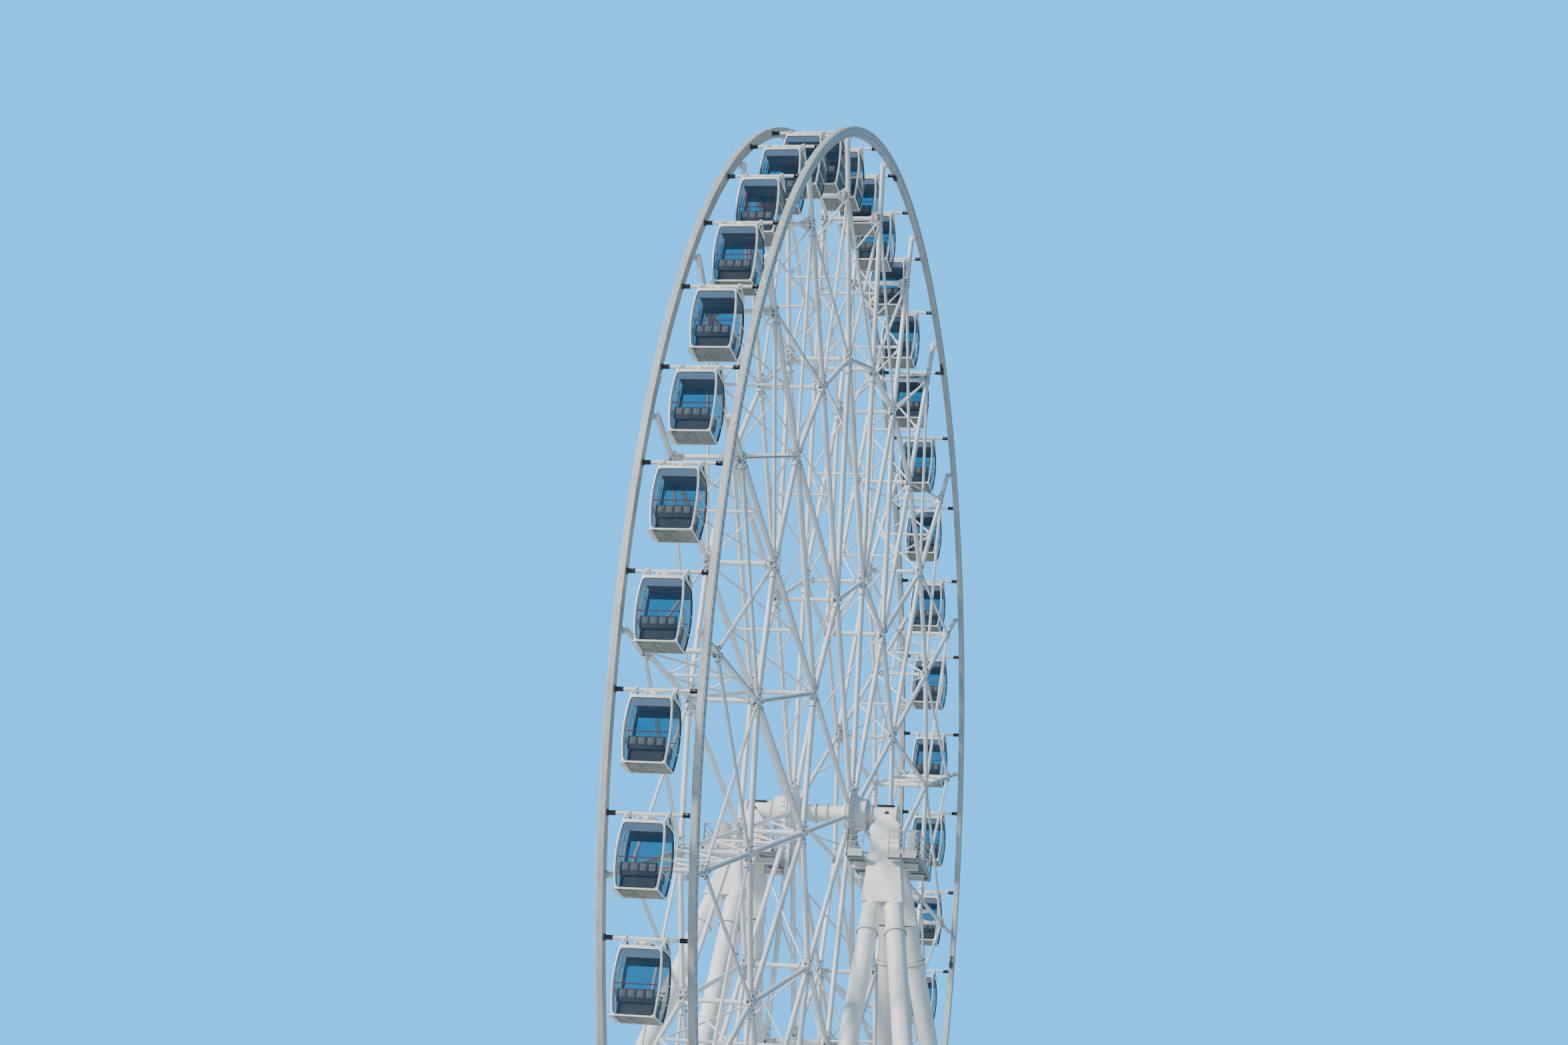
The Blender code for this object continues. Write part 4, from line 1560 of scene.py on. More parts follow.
    def build(self) -> bpy.types.Object:
        """Models the right tower, and mirrors it for the left.

        Returns:
            The whole tower.
        """
        bench = Bench("tower_right_steel", FINISH.tower, FINISH.bolt, FINISH.cover)
        self.legs(bench)
        self.limbs(bench)
        self.head(bench)
        self.beams(bench)
        whole = bench.done()
        if self.side is Side.LEFT:
            other = mirrored("tower_left_steel", whole)
            bpy.data.objects.remove(whole, do_unlink=True)
            whole = other
        return fit(whole, Body.TOWERS.value, (f"tower_{self.side.word}",))


class Deck(Enum):
    """The two service decks of a tower: their near and far edge from the mid plane."""

    INNER = (0.74, 1.08)
    OUTER = (1.57, 2.19)


@dataclass
class ServiceDeck:
    """A service deck: grating in an angle frame, tube railings and toe boards."""

    side: Side
    deck: Deck
    drop: float = 1.01
    depth: float = 0.08
    half_x: float = 0.89
    notch_y: float = 1.85
    notch_x: float = 0.70
    rail_drop: float = 0.53
    tube: float = 0.013
    slat: float = 0.006
    slat_pitch: float = 0.034
    toe: float = 0.075

    def panels(self) -> list[tuple[float, float, float, float]]:
        """Lists the deck's rectangles as low x, low y, high x, high y."""
        low, high = self.deck.value
        if self.deck is Deck.INNER:
            return [(-self.half_x, low, self.half_x, high)]
        return [(-self.half_x, self.notch_y, self.half_x, high),
                (-self.half_x, low, -self.notch_x, self.notch_y),
                (self.notch_x, low, self.half_x, self.notch_y)]

    def frames(self, bench: Bench) -> None:
        """Frames each panel with angles and sets joists under it.

        Args:
            bench: the deck under work.
        """
        top = HUB.z - self.drop
        bench.use(FINISH.deck)
        for low_x, low_y, high_x, high_y in self.panels():
            for y in (low_y, high_y - 0.012):
                bench.block((low_x, y, top - self.depth), (high_x, y + 0.012, top))
            for x in (low_x, high_x - 0.012):
                bench.block((x, low_y, top - self.depth), (x + 0.012, high_y, top))
            joist = low_x + 0.20
            while joist < high_x - 0.05:
                bench.block((joist - 0.02, low_y, top - self.depth),
                            (joist + 0.02, high_y, top - 0.030))
                joist += 0.30

    def slats(self, low_x: float, low_y: float, high_x: float, high_y: float) -> bpy.types.Object:
        """Models one slat and repeats it across a panel.

        Args:
            low_x: the panel's near edge.
            low_y: its edge towards the wheel.
            high_x: its far edge.
            high_y: its edge away from the wheel.

        Returns:
            The row of slats.
        """
        top = HUB.z - self.drop - 0.002
        bench = Bench("slats", FINISH.deck)
        start = Vector((low_x + self.slat_pitch, low_y, top))
        bench.block(start - Vector((0, 0, 0.030)), start + Vector((self.slat, high_y - low_y, 0)))
        slats = bench.done()
        repeat_along(slats, start, Vector((high_x, low_y, top)), self.slat_pitch)
        return slats

    def railing(self, bench: Bench) -> None:
        """Adds the posts, the three rails and the toe boards.

        Args:
            bench: the deck under work.
        """
        low, high = self.deck.value
        inner = self.deck is Deck.INNER
        far, near = (low, high) if inner else (high, low)
        inset = 0.016 if inner else -0.016
        far += inset
        near -= inset
        top = HUB.z - self.rail_drop - 0.014
        floor = HUB.z - self.drop - 0.05
        bench.use(FINISH.deck)
        edge = self.half_x - 0.016
        corners = [Vector((-edge, near, 0)), Vector((-edge, far, 0)), Vector((edge, far, 0)),
                   Vector((edge, near, 0))]
        for start, end in zip(corners, corners[1:]):
            for height, radius in ((top, self.tube), (top - 0.13, self.tube * 0.7),
                                   (top - 0.25, self.tube * 0.7), (top - 0.36, self.tube * 0.7)):
                up = Vector((0, 0, height))
                bench.rod(start + up, end + up, radius, 10)
            board = (end - start).cross(Vector((0, 0, 1))).normalized()
            lift = Vector((0, 0, HUB.z - self.drop + self.toe / 2))
            bench.bar(start + lift, end + lift, board, self.toe, 0.006)
            count = max(1, round((end - start).length / 0.36))
            for index in range(count + 1):
                spot = start + (end - start) * index / count
                bench.rod(spot + Vector((0, 0, floor)), spot + Vector((0, 0, top)), self.tube, 10)
                bench.block(spot + Vector((-0.022, -0.015, floor - 0.02)),
                            spot + Vector((0.022, 0.015, floor + 0.028)), 0.003)
        if inner:
            for end in (-1, 1):
                foot = Vector((end * 0.30, far, HUB.z - self.drop - 0.01))
                for way in (-1, 1):
                    bench.rod(foot, Vector((end * 0.30 + way * 0.26, far, top)),
                              self.tube * 0.8, 8)

    def cabinet(self, bench: Bench) -> None:
        """Adds the control cabinet with its door and cable tails, on the outer deck.

        Args:
            bench: the deck under work.
        """
        low = Vector((-0.30, 1.86, HUB.z - self.drop + 0.002))
        high = Vector((0.10, 2.02, HUB.z - 0.36))
        bench.use(FINISH.cabinet)
        bench.block(low, high, 0.010, 2)
        bench.block(Vector((low.x + 0.03, high.y - 0.004, low.z + 0.05)),
                    Vector((high.x - 0.03, high.y + 0.010, high.z - 0.04)), 0.006)
        bench.block(Vector((low.x - 0.01, low.y - 0.01, high.z - 0.004)),
                    Vector((high.x + 0.01, high.y + 0.03, high.z + 0.012)), 0.005)
        bench.use(FINISH.rubber)
        bench.block(Vector((high.x - 0.07, high.y + 0.008, -0.05 + (low.z + high.z) / 2)),
                    Vector((high.x - 0.05, high.y + 0.020, 0.05 + (low.z + high.z) / 2)), 0.004)
        for index in range(4):
            start = Vector((0.12 + index * 0.035, 1.90, HUB.z - self.drop + 0.01))
            bench.rod(start, start + Vector((0.02, 0.02, 0.42 - index * 0.06)), 0.011, 8)

    def build(self) -> bpy.types.Object:
        """Models the right deck, and mirrors it for the left.

        Returns:
            The whole deck.
        """
        bench = Bench("deck", FINISH.deck, FINISH.cabinet, FINISH.rubber)
        self.frames(bench)
        self.railing(bench)
        if self.deck is Deck.OUTER:
            self.cabinet(bench)
        kind = self.deck.name.lower()
        name = f"{kind}_deck_{self.side.word}"
        steel = bench.done()
        whole = joined(name, [steel] + [self.slats(*panel) for panel in self.panels()])
        if self.side is Side.LEFT:
            other = mirrored(name + "_steel", whole)
            bpy.data.objects.remove(whole, do_unlink=True)
            whole = other
        return fit(whole, Body.TOWERS.value,
                   (f"service_deck_{self.side.word}_{kind}",))


# ---- The cabins


@dataclass
class CabinShape:
    """One cabin about its shaft: +Z up, the shaft along Y, the door at +Y."""

    shaft: float = 0.030
    shaft_end: float = 0.6885
    sleeve: float = 0.040
    sleeve_length: float = 0.125
    collar: float = 0.058
    top: float = -0.208
    band: float = -0.362
    bottom: float = -1.276
    rows: int = 10
    end_half: tuple[float, float] = (0.294, 0.350)
    bulge: tuple[float, float] = (0.042, 0.045)
    corner: float = 0.018
    frame: float = 0.013
    gasket: float = 0.007
    window_corner: float = 0.060
    wall: float = 0.020
    roof_top: float = -0.166
    tray_bottom: float = -1.288
    sill_reach: float = 0.412
    unit_top: float = -0.068
    hanger_y: float = 0.328
    rail_drop: float = -0.776

    def half(self, height: float) -> tuple[float, float]:
        """Gives the barrel's half sizes in X and Y at a height."""
        middle = (self.top + self.bottom) / 2
        share = 1.0 - ((height - middle) / ((self.top - self.bottom) / 2)) ** 2
        return tuple(end + more * share for end, more in zip(self.end_half, self.bulge))

    def levels(self) -> list[float]:
        """Lists the heights at which the barrel's walls are cut into rows."""
        step = (self.band - self.bottom) / (self.rows - 1)
        return [self.band - step * index for index in range(self.rows - 1)]

    def barrel(self) -> tuple[bpy.types.Object, list[bpy.types.Object]]:
        """Models the walls and takes the panes out of them.

        Returns:
            The walls, and the panes as separate pieces.
        """
        bench = Bench("cabin_walls", FINISH.cabin, FINISH.rubber, FINISH.window,
                      FINISH.window_band, FINISH.side_window)
        bench.use(FINISH.cabin)
        height = self.top - self.bottom
        bench.block((-self.end_half[0], -self.end_half[1], self.bottom),
                    (self.end_half[0], self.end_half[1], self.bottom + height))
        for level in self.levels():
            bpy.ops.mesh.select_all(action="SELECT")
            bpy.ops.mesh.bisect(plane_co=(0, 0, level), plane_no=(0, 0, 1))
        for level in self.levels():
            self.pick_corners(bench, level)
            half_x, half_y = self.half(level)
            bpy.ops.transform.resize(
                value=(half_x / self.end_half[0], half_y / self.end_half[1], 1),
                center_override=(0, 0, level),
            )
        self.round_corners(bench)
        self.cut_panes(bench)
        walls = bench.done()
        panes = self.split_by_finish(walls)
        return walls, panes

    def pick_corners(self, bench: Bench, level: float) -> None:
        """Selects the walls' points at one height."""
        bpy.ops.mesh.select_mode(type="VERT")
        bpy.ops.mesh.select_all(action="DESELECT")
        cage = bench.cage()
        for corner in cage.verts:
            if abs(corner.co.z - level) < 1e-4:
                corner.select_set(True)
        cage.select_flush_mode()
        bmesh.update_edit_mesh(bench.piece.data)

    def round_corners(self, bench: Bench) -> None:
        """Bevels the four upright edges of the walls."""
        bpy.ops.mesh.select_mode(type="EDGE")
        bpy.ops.mesh.select_all(action="DESELECT")
        cage = bench.cage()
        for edge in cage.edges:
            run = edge.verts[0].co - edge.verts[1].co
            edge.select_set(abs(run.z) > run.length * 0.5)
        bmesh.update_edit_mesh(bench.piece.data)
        bpy.ops.mesh.bevel(offset=self.corner, segments=3, affect="EDGES")
        bpy.ops.mesh.select_mode(type="FACE")

    def cut_panes(self, bench: Bench) -> None:
        """Insets the panes in the four walls, each inside a rubber frame; their corners are rounded
        later by the spandrels.

        Args:
            bench: the walls under work.
        """
        # The side panes take the glass whose lighter blue is painted sky reflection.
        for axis, finish in ((0, FINISH.window), (1, FINISH.side_window)):
            for sign in (-1, 1):
                bpy.ops.mesh.select_all(action="SELECT")
                bench.keep_selected(
                    lambda face: face.normal[axis] * sign > 0.85 and face.calc_area() > 0.01
                )
                for border, inner in ((self.frame, FINISH.rubber), (self.gasket, finish)):
                    bpy.ops.mesh.inset(thickness=border, use_even_offset=True)
                    bench.use(inner)
                    bpy.ops.object.material_slot_assign()
        bpy.ops.mesh.select_all(action="SELECT")
        bench.keep_selected(
            lambda face: face.material_index == 2 and face.calc_center_median().z > self.band
        )
        bench.use(FINISH.window_band)
        bpy.ops.object.material_slot_assign()

    def spandrels(self, bench: Bench) -> None:
        """Rounds the corners of all panes with small curved webs on the frame.

        Args:
            bench: the fittings under work.
        """
        for finish, sweep in ((FINISH.cabin, self.window_corner),
                              (FINISH.rubber, self.window_corner + self.gasket * 1.6)):
            bench.use(finish)
            for axis, sign, side, end in product((0, 1), (-1, 1), (-1, 1), (-1, 1)):
                self.spandrel(bench, axis, sign, side, end, sweep)

    def spandrel(
        self, bench: Bench, axis: int, sign: int, side: int, end: int, sweep: float
    ) -> None:
        """Adds the web in one corner of one pane.

        Args:
            bench: the fittings under work.
            axis: 0 for the front and rear panes, 1 for the side ones.
            sign: which of the two panes.
            side: which side of the pane.
            end: 1 for its top, -1 for its bottom.
            sweep: radius of its hollow side; the wider ones lie deeper.
        """
        height = (self.top if end > 0 else self.bottom) - end * (self.frame - 0.003)
        outline = [(0.0, 0.0)]
        for index in range(6):
            angle = math.pi / 2 * index / 5
            outline.append((sweep * (1 - math.sin(angle)), sweep * (1 - math.cos(angle))))
        points = []
        for away, down in outline:
            level = height - end * down
            halves = self.half(level)
            across = side * (halves[1 - axis] - self.corner - self.frame + 0.003 - away)
            out = sign * (halves[axis] - 0.006 - (sweep - self.window_corner) * 0.15)
            points.append(Vector((out, across, level) if axis == 0 else (across, out, level)))
        thickness = Vector((sign * 0.012, 0, 0)) if axis == 0 else Vector((0, sign * 0.012, 0))
        bench.plate(points, thickness)

    def split_by_finish(self, walls: bpy.types.Object) -> list[bpy.types.Object]:
        """Separates the panes from the walls and gives both their thickness.

        Args:
            walls: the walls with their panes.

        Returns:
            The panes.
        """
        before = set(bpy.data.objects)
        bpy.ops.object.mode_set(mode="EDIT")
        bpy.ops.mesh.select_all(action="SELECT")
        bench_faces = bmesh.from_edit_mesh(walls.data)
        for face in bench_faces.faces:
            face.select_set(face.material_index > 1)
        bmesh.update_edit_mesh(walls.data)
        bpy.ops.mesh.separate(type="SELECTED")
        bpy.ops.object.mode_set(mode="OBJECT")
        panes = [piece for piece in bpy.data.objects if piece not in before]
        for piece, thick, sink in [(walls, self.wall, 0.0)] + [(p, 0.005, 0.006) for p in panes]:
            bpy.ops.object.select_all(action="DESELECT")
            bpy.context.view_layer.objects.active = piece
            piece.select_set(True)
            if sink:
                bpy.ops.object.mode_set(mode="EDIT")
                bpy.ops.mesh.select_all(action="SELECT")
                bpy.ops.transform.shrink_fatten(value=-sink)
                bpy.ops.object.mode_set(mode="OBJECT")
            shell = piece.modifiers.new("thickness", "SOLIDIFY")
            shell.thickness = thick
            shell.offset = -1.0
            bpy.ops.object.modifier_apply(modifier=shell.name)
        return panes

    def screws(self, bench: Bench) -> None:
        """Adds the screws round the two large windows."""
        bench.use(FINISH.bolt)
        for end in (-1, 1):
            for index in range(19):
                height = self.top - 0.05 - (self.top - self.bottom - 0.10) * index / 18
                half_x, half_y = self.half(height)
                for side in (-1, 1):
                    spot = Vector((end * (half_x - 0.0015), side * (half_y - self.corner - 0.006),
                                   height))
                    bench.turned(spot, Vector((end, 0, 0)), ((0, 0.0048), (0.004, 0.003)), 4)
            for index in range(11):
                side_y = (index / 10 - 0.5) * 2 * (self.end_half[1] - self.corner - 0.04)
                for height in (self.top - 0.007, self.bottom + 0.008):
                    half_x, _ = self.half(height)
                    spot = Vector((end * (half_x - 0.0015), side_y, height))
                    bench.turned(spot, Vector((end, 0, 0)), ((0, 0.0048), (0.004, 0.003)), 4)

    def shaft_and_hangers(self, bench: Bench) -> None:
        """Adds the shaft with its dark sleeves, and the hangers down to the roof."""
        bench.use(FINISH.cabin)
        bench.turned(Vector((0, -0.58, 0)), AXLE, ((0, self.shaft), (1.16, self.shaft)), 18)
        for side in (-1, 1):
            out = AXLE * side
            bench.use(FINISH.sleeve)
            near = self.shaft_end - 0.018 - self.sleeve_length
            bench.turned(Vector((0, 0, 0)), out, (
                (near, self.shaft + 0.002), (near, self.sleeve - 0.002),
                (near + 0.004, self.sleeve), (near + 0.045, self.sleeve),
                (near + 0.047, self.sleeve - 0.002), (near + 0.050, self.sleeve),
                (self.shaft_end - 0.018, self.sleeve),
            ), 20)
            bench.use(FINISH.bolt)
            bench.turned(Vector((0, 0, 0)), out, (
                (self.shaft_end - 0.019, self.sleeve), (self.shaft_end - 0.019, self.collar),
                (self.shaft_end - 0.003, self.collar), (self.shaft_end, self.collar - 0.003),
            ), 20)
            bench.studs(out * (self.shaft_end - 0.020), out, self.collar - 0.008, 8, 0.005, 0.010)
            self.hanger(bench, side)

    def hanger(self, bench: Bench, side: int) -> None:
        """Adds one hanger: a clamp on the shaft and a triangular frame on the roof.

        Args:
            bench: the fittings under work.
            side: the sign of its place along the shaft.
        """
        middle = Vector((0, side * self.hanger_y, 0))
        bench.use(FINISH.cabin)
        bench.turned(middle - AXLE * 0.026, AXLE, (
            (0, 0.044), (0.004, 0.050), (0.048, 0.050), (0.052, 0.044)), 18)
        for end in (-1, 1):
            foot = middle + Vector((end * 0.262, side * 0.010, self.roof_top + 0.004))
            top = middle + Vector((end * 0.022, 0, 0.014))
            bench.bar(top, foot, AXLE, 0.036, 0.040, 0.004)
        low = middle + Vector((0, side * 0.010, self.roof_top + 0.006))
        bench.bar(low - Vector((0.284, 0, 0)), low + Vector((0.284, 0, 0)), AXLE, 0.028, 0.034,
                  0.003)
        bench.use(FINISH.rubber)
        bench.bar(middle + Vector((0.02, -side * 0.012, -0.03)),
                  middle + Vector((0.20, -side * 0.004, self.roof_top + 0.012)), AXLE, 0.018, 0.018)
        bench.use(FINISH.bolt)
        for end in (-1, 1):
            for way in (-1, 1):
                spot = middle + Vector((end * 0.252 + way * 0.022, side * 0.010,
                                        self.roof_top + 0.018))
                bench.turned(spot, Vector((0, 0, 1)), ((-0.004, 0.007), (0.007, 0.006)), 6)

    def roof(self, bench: Bench) -> None:
        """Adds the roof with its fascia and the cooling unit with its vents."""
        half_x, half_y = self.end_half
        bench.use(FINISH.cabin)
        bench.block((-half_x + 0.006, -half_y + 0.006, self.top - 0.012),
                    (half_x - 0.006, half_y - 0.006, self.roof_top), 0.012, 2)
        bench.block((-half_x + 0.05, -half_y + 0.05, self.roof_top - 0.004),
                    (half_x - 0.05, half_y - 0.05, self.roof_top + 0.008), 0.006)
        bench.block((-0.158, -0.112, self.roof_top), (0.158, 0.145, self.unit_top), 0.010, 2)
        for end in (-1, 1):
            for low_y, high_y, low_z, high_z in (
                (0.060, 0.128, -0.132, -0.080), (-0.096, -0.030, -0.132, -0.080),
                (-0.020, 0.050, -0.134, -0.108),
            ):
                low_x, high_x = sorted((end * 0.152, end * 0.1605))
                bench.use(FINISH.grille)
                bench.block((low_x, low_y, low_z), (high_x, high_y, high_z), 0.002)
                bench.use(FINISH.cabin)
                low_x, high_x = sorted((end * 0.159, end * 0.1635))
                for row in range(1, 4):
                    height = low_z + (high_z - low_z) * row / 4
                    bench.block((low_x, low_y, height - 0.0018), (high_x, high_y, height + 0.0018))
        bench.use(FINISH.rubber)
        bench.rod(Vector((-0.05, -0.110, -0.10)), Vector((-0.10, -0.165, -0.115)), 0.009, 8)
        bench.rod(Vector((-0.10, -0.163, -0.113)), Vector((-0.13, -0.20, self.roof_top)), 0.009, 8)

    def tray(self, bench: Bench) -> None:
        """Adds the floor tray with its thin fascia, underside and door sill."""
        half_x, half_y = self.end_half
        bench.use(FINISH.cabin)
        for end in (-1, 1):
            low_x, high_x = sorted((end * (half_x - 0.020), end * (half_x + 0.004)))
            bench.block((low_x, -half_y - 0.004, self.tray_bottom),
                        (high_x, half_y + 0.004, self.bottom + 0.010), 0.003)
        bench.block((-half_x + 0.018, -half_y - 0.004, self.tray_bottom),
                    (half_x - 0.018, -half_y + 0.020, self.bottom + 0.010), 0.003)
        bench.block((-half_x + 0.03, half_y - 0.020, self.tray_bottom + 0.002),
                    (half_x - 0.03, self.sill_reach, self.tray_bottom + 0.018), 0.004)
        bench.use(FINISH.tray)
        under = self.tray_bottom + 0.006
        bench.block((-half_x + 0.016, -half_y + 0.016, under),
                    (half_x - 0.016, half_y - 0.016, self.bottom + 0.010))
        for low, high in (((-0.20, 0.05), (0.20, 0.060)), ((-0.20, -0.060), (0.20, -0.05)),
                          ((-0.20, -0.05), (-0.190, 0.05)), ((0.190, -0.05), (0.20, 0.05)),
                          ((-0.25, 0.10), (0.10, 0.112)), ((-0.25, 0.29), (0.10, 0.302))):
            bench.block((low[0], low[1], under - 0.006), (high[0], high[1], under + 0.004))
        bench.block((-0.20, 0.14, under - 0.006), (-0.02, 0.27, under + 0.004), 0.003)
        bench.block((0.10, 0.16, under - 0.006), (0.24, 0.30, under + 0.004), 0.003)
        bench.use(FINISH.rubber)
        bench.block((-0.270, 0.235, under - 0.005), (-0.225, 0.300, under + 0.003), 0.002)
        bench.use(FINISH.bolt)
        for x in (-0.26, -0.09, 0.09, 0.26):
            for y in (-0.31, -0.15, 0.08, 0.32):
                bench.turned(Vector((x, y, under)), Vector((0, 0, -1)),
                             ((-0.002, 0.007), (0.006, 0.006)), 6)

    def side_bars(self, bench: Bench) -> None:
        """Adds the side windows' bars, the door's frame and its handle."""
        bench.use(FINISH.cabin)
        for height in (-0.670, -0.980):
            half_x, half_y = self.half(height)
            reach = half_x - self.corner - 0.010
            bench.bar(Vector((-reach, -half_y + 0.004, height)),
                      Vector((reach, -half_y + 0.004, height)), AXLE, 0.014, 0.016, 0.002)
        for x in (-0.175, 0.0, 0.175):
            heights = [self.top - 0.03, -0.45, -0.73, -1.0, self.bottom + 0.03]
            spots = [Vector((x, self.half(height)[1] - 0.004, height)) for height in heights]
            for low, high in zip(spots, spots[1:]):
                bench.bar(low, high, AXLE, 0.020 if x else 0.026, 0.016)
        bench.use(FINISH.rubber)
        heights = [self.top - 0.03, -0.45, -0.73, -1.0, self.bottom + 0.03]
        spots = [Vector((0, self.half(height)[1] + 0.003, height)) for height in heights]
        for low, high in zip(spots, spots[1:]):
            bench.bar(low, high, AXLE, 0.006, 0.008)
        bench.use(FINISH.bolt)
        _, half_y = self.half(-0.86)
        for x in (-0.035, 0.035):
            bench.bar(Vector((x, half_y + 0.010, -0.80)), Vector((x, half_y + 0.010, -0.90)),
                      AXLE, 0.012, 0.014, 0.003)
        for height in (-0.40, -1.08):
            _, half_y = self.half(height)
            bench.block((0.165, half_y - 0.006, height - 0.03), (0.187, half_y + 0.010,
                        height + 0.03), 0.003)

    def inside(self) -> bpy.types.Object:
        """Models the interior: ceiling, floor, benches with moulded panels and the handrail.

        Returns:
            The interior as a loose piece.
        """
        bench = Bench("cabin_inside", FINISH.lining, FINISH.seat, FINISH.seat_panel, FINISH.handrail,
                      FINISH.bolt)
        bench.use(FINISH.lining)
        bench.block((-0.268, -0.322, -0.262), (0.268, 0.322, -0.240), 0.006)
        for x in (-0.14, 0.0, 0.14):
            bench.bar(Vector((x, -0.32, -0.265)), Vector((x, 0.32, -0.265)), Vector((0, 0, 1)),
                      0.030, 0.016, 0.003)
        bench.block((-0.268, -0.322, -1.262), (0.268, 0.322, -1.245), 0.004)
        for end in (-1, 1):
            self.seat_row(bench, end)
            half_x, half_y = self.half(self.rail_drop)
            spot = Vector((end * (half_x - 0.042), 0, self.rail_drop))
            bench.use(FINISH.handrail)
            reach = AXLE * (half_y - 0.055)
            bench.rod(spot - reach, spot + reach, 0.0085, 10)
            bench.use(FINISH.bolt)
            for side in (-1, 1):
                clip = spot + reach * side * 0.96
                bench.rod(clip, clip + Vector((end * 0.024, 0, 0)), 0.008, 8)
        return bench.done()

    def seat_row(self, bench: Bench, end: int) -> None:
        """Adds one bench of four seats, its back towards the window.

        Args:
            bench: the interior under work.
            end: the sign of its place in X.
        """
        bench.use(FINISH.seat)
        back_x = end * 0.256
        low_x, high_x = sorted((back_x, back_x - end * 0.022))
        bench.block((low_x, -0.300, -1.06), (high_x, 0.300, -0.845), 0.008, 2)
        low_x, high_x = sorted((back_x - end * 0.012, end * 0.118))
        bench.block((low_x, -0.300, -1.045), (high_x, 0.300, -1.010), 0.012, 2)
        low_x, high_x = sorted((back_x - end * 0.03, end * 0.150))
        bench.block((low_x, -0.285, -1.248), (high_x, 0.285, -1.040), 0.004)
        bench.use(FINISH.seat_panel)
        for index in range(4):
            side_y = (index - 1.5) * 0.146
            for low_x, high_x in (sorted((back_x + end * 0.008, back_x - end * 0.001)),
                                  sorted((back_x - end * 0.018, back_x - end * 0.034))):
                bench.block((low_x, side_y - 0.054, -0.985), (high_x, side_y + 0.054, -0.865),
                            0.007, 2)
            low_x, high_x = sorted((back_x - end * 0.035, end * 0.128))
            bench.block((low_x, side_y - 0.056, -1.016), (high_x, side_y + 0.056, -0.998),
                        0.007, 2)

    def fittings(self) -> bpy.types.Object:
        """Models all that is bolted to the walls outside.

        Returns:
            The fittings as a loose piece.
        """
        bench = Bench("cabin_fittings", FINISH.cabin, FINISH.sleeve, FINISH.bolt,
                      FINISH.grille, FINISH.rubber, FINISH.tray)
        self.shaft_and_hangers(bench)
        self.roof(bench)
        self.tray(bench)
        self.side_bars(bench)
        self.spandrels(bench)
        self.screws(bench)
        return bench.done()


@dataclass
class CabinRing:
    """The 44 cabins: one is modelled, and each place on the rims gets its copy."""

    shape: CabinShape

    def build(self) -> list[bpy.types.Object]:
        """Models one cabin and hangs its copies on their shafts.

        Returns:
            Three pieces for each cabin: body, windows and inside.
        """
        walls, panes = self.shape.barrel()
        body = joined("cabin_body", [walls, self.shape.fittings()])
        windows = joined("cabin_windows", panes)
        inside = self.shape.inside()
        pieces = []
        for index in range(CABINS):
            node = f"cabin_{index + 1:02d}"
            place = Matrix.Translation(on_wheel(CABIN_CIRCLE, index, 0))
            for master, word in ((body, "body"), (windows, "windows"), (inside, "inside")):
                copy = moved_copies(f"{node}_{word}", master, [place], keep=True)
                nodes = (node,) if word == "body" else ()
                pieces.append(fit(copy, node, nodes))
        for master in (body, windows, inside):
            bpy.data.objects.remove(master, do_unlink=True)
        return pieces


# ---- Stage, light and camera


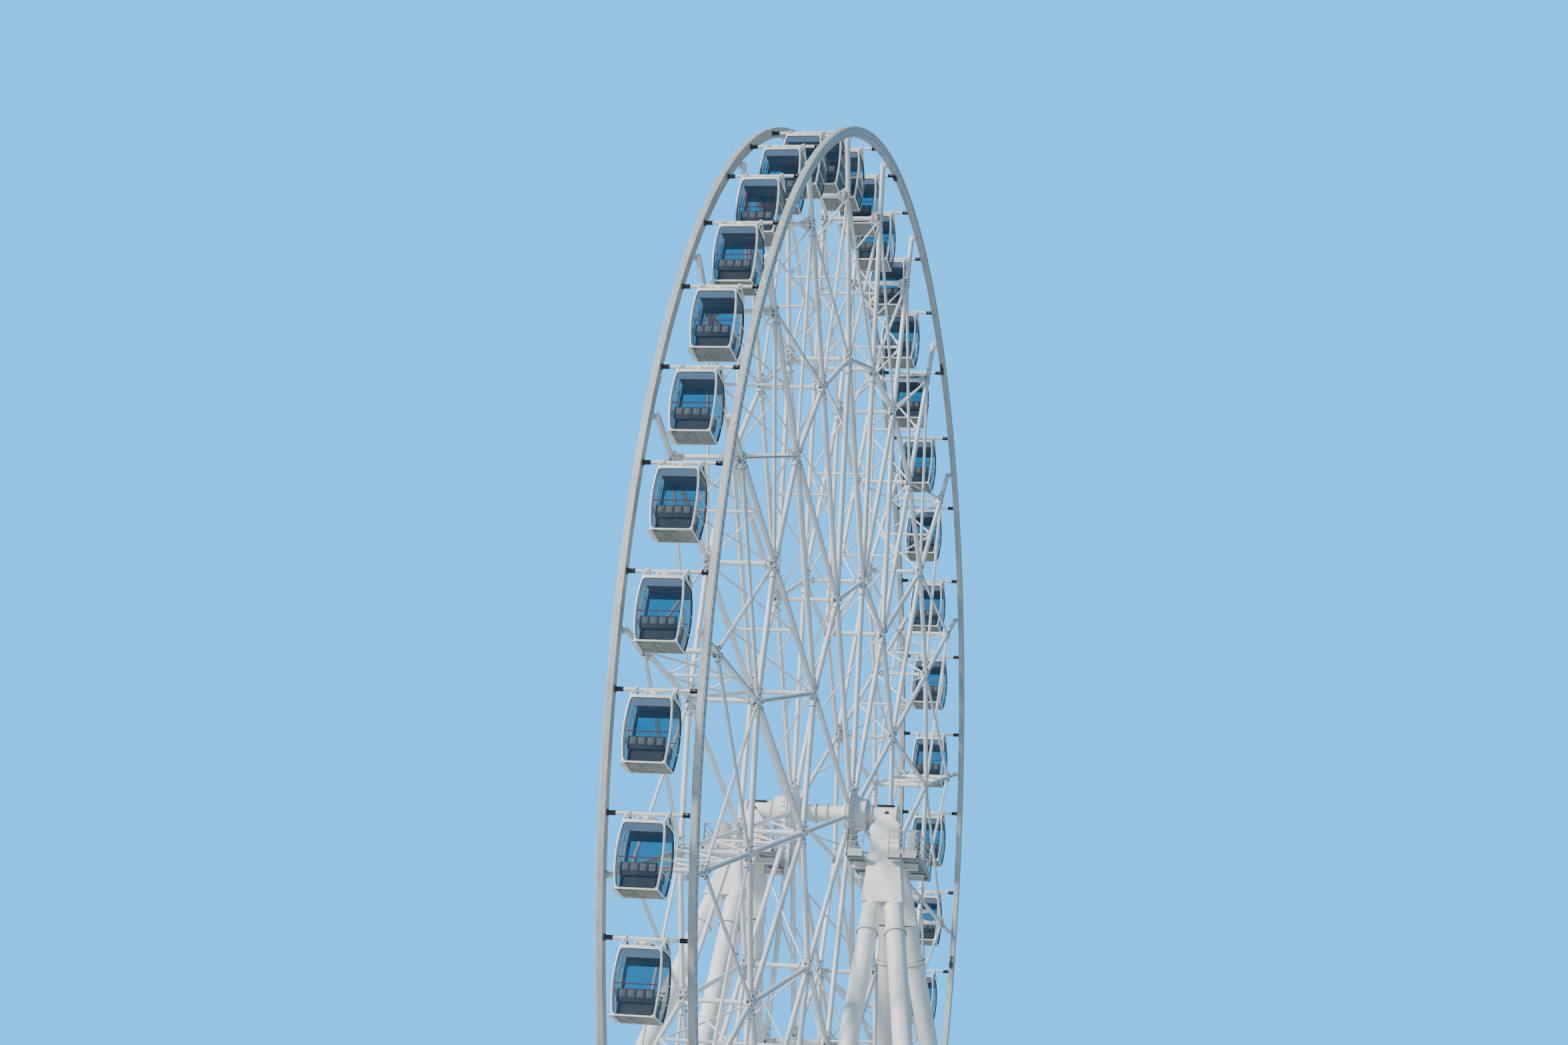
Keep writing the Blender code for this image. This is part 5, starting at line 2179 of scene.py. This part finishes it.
@dataclass
class Studio:
    """The pale floor, the soft light, and the camera at the photograph's angle."""

    camera_place: tuple[float, float, float] = (-4.05711, -0.84685, -1.15263)
    azimuth: float = math.radians(13.167)
    pitch: float = math.radians(21.186)
    roll: float = math.radians(5.872)
    focal_pixels: float = 4336.68
    image_width: float = 2352.0
    sensor: float = 36.0
    floor_size: float = 600.0
    key_power: float = 6.2
    key_direction: tuple[float, float, float] = (0.52, -0.62, -0.42)
    sky: tuple[float, float, float] = (0.04, 0.94, 2.25)
    soft_light: tuple[float, float, float] = (0.20, 0.40, 0.60)

    def floor(self) -> None:
        """Lays the floor, its corners rounded."""
        bench = Bench("studio_floor", FINISH.floor)
        bench.use(FINISH.floor)
        half = self.floor_size / 2
        bench.block((-half, -half, -0.2), (half, half, -0.002), 0.05)
        bench.done()

    def light(self) -> None:
        """Sets an even light all round with a plain blue backdrop, and one soft sun."""
        world = bpy.data.worlds.new("studio_air")
        bpy.context.scene.world = world
        world.use_nodes = True
        tree = world.node_tree
        back = tree.nodes["Background"]
        back.inputs["Color"].default_value = (*self.soft_light, 1.0)
        backdrop = add_node(tree, "ShaderNodeBackground")
        backdrop.inputs["Color"].default_value = (*self.sky, 1.0)
        seen = add_node(tree, "ShaderNodeLightPath")
        mix = add_node(tree, "ShaderNodeMixShader")
        tree.links.new(seen.outputs["Is Camera Ray"], mix.inputs[0])
        tree.links.new(back.outputs[0], mix.inputs[1])
        tree.links.new(backdrop.outputs[0], mix.inputs[2])
        tree.links.new(mix.outputs[0], tree.nodes["World Output"].inputs["Surface"])
        sun = bpy.data.lights.new("key", "SUN")
        sun.energy = self.key_power
        sun.angle = math.radians(12.0)
        sun.color = (1.0, 0.93, 0.84)
        lamp = bpy.data.objects.new("key", sun)
        lamp.rotation_euler = Vector(self.key_direction).to_track_quat("-Z", "Y").to_euler()
        bpy.context.scene.collection.objects.link(lamp)

    def camera(self) -> None:
        """Places the camera that was fitted to the photograph's ellipses."""
        forward = Vector((
            math.cos(self.pitch) * math.cos(self.azimuth),
            math.cos(self.pitch) * math.sin(self.azimuth), math.sin(self.pitch),
        ))
        level = Vector((math.sin(self.azimuth), -math.cos(self.azimuth), 0.0))
        upright = level.cross(forward)
        right = level * math.cos(self.roll) + upright * math.sin(self.roll)
        up = right.cross(forward)
        lens = bpy.data.cameras.new("photo_lens")
        lens.sensor_width = self.sensor
        lens.lens = self.focal_pixels / self.image_width * self.sensor
        lens.clip_end = 1000.0
        camera = bpy.data.objects.new("photo_camera", lens)
        turn = Matrix((right, up, -forward)).transposed().to_4x4()
        place = HUB + Vector(self.camera_place) * CABIN_CIRCLE
        camera.matrix_world = Matrix.Translation(place) @ turn
        bpy.context.scene.collection.objects.link(camera)
        bpy.context.scene.camera = camera

    def build(self) -> None:
        """Sets the whole stage."""
        self.floor()
        self.light()
        self.camera()


def corners(box: tuple[Vector, Vector]) -> list[list[float]]:
    """Gives a box's two corners as plain lists."""
    return [list(map(float, corner)) for corner in box]


def main() -> None:
    """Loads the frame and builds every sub-assembly."""
    logging.basicConfig(level=logging.INFO, format="%(message)s")
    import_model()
    Studio().build()
    for side in Side:
        Tower(side).build()
        for deck in Deck:
            ServiceDeck(side, deck).build()
        Rim(side).build()
        SpokeWeb(side).build()
    CrossBracing().build()
    Hub().build()
    CabinRing(CabinShape()).build()


if __name__ == "__main__":
    main()
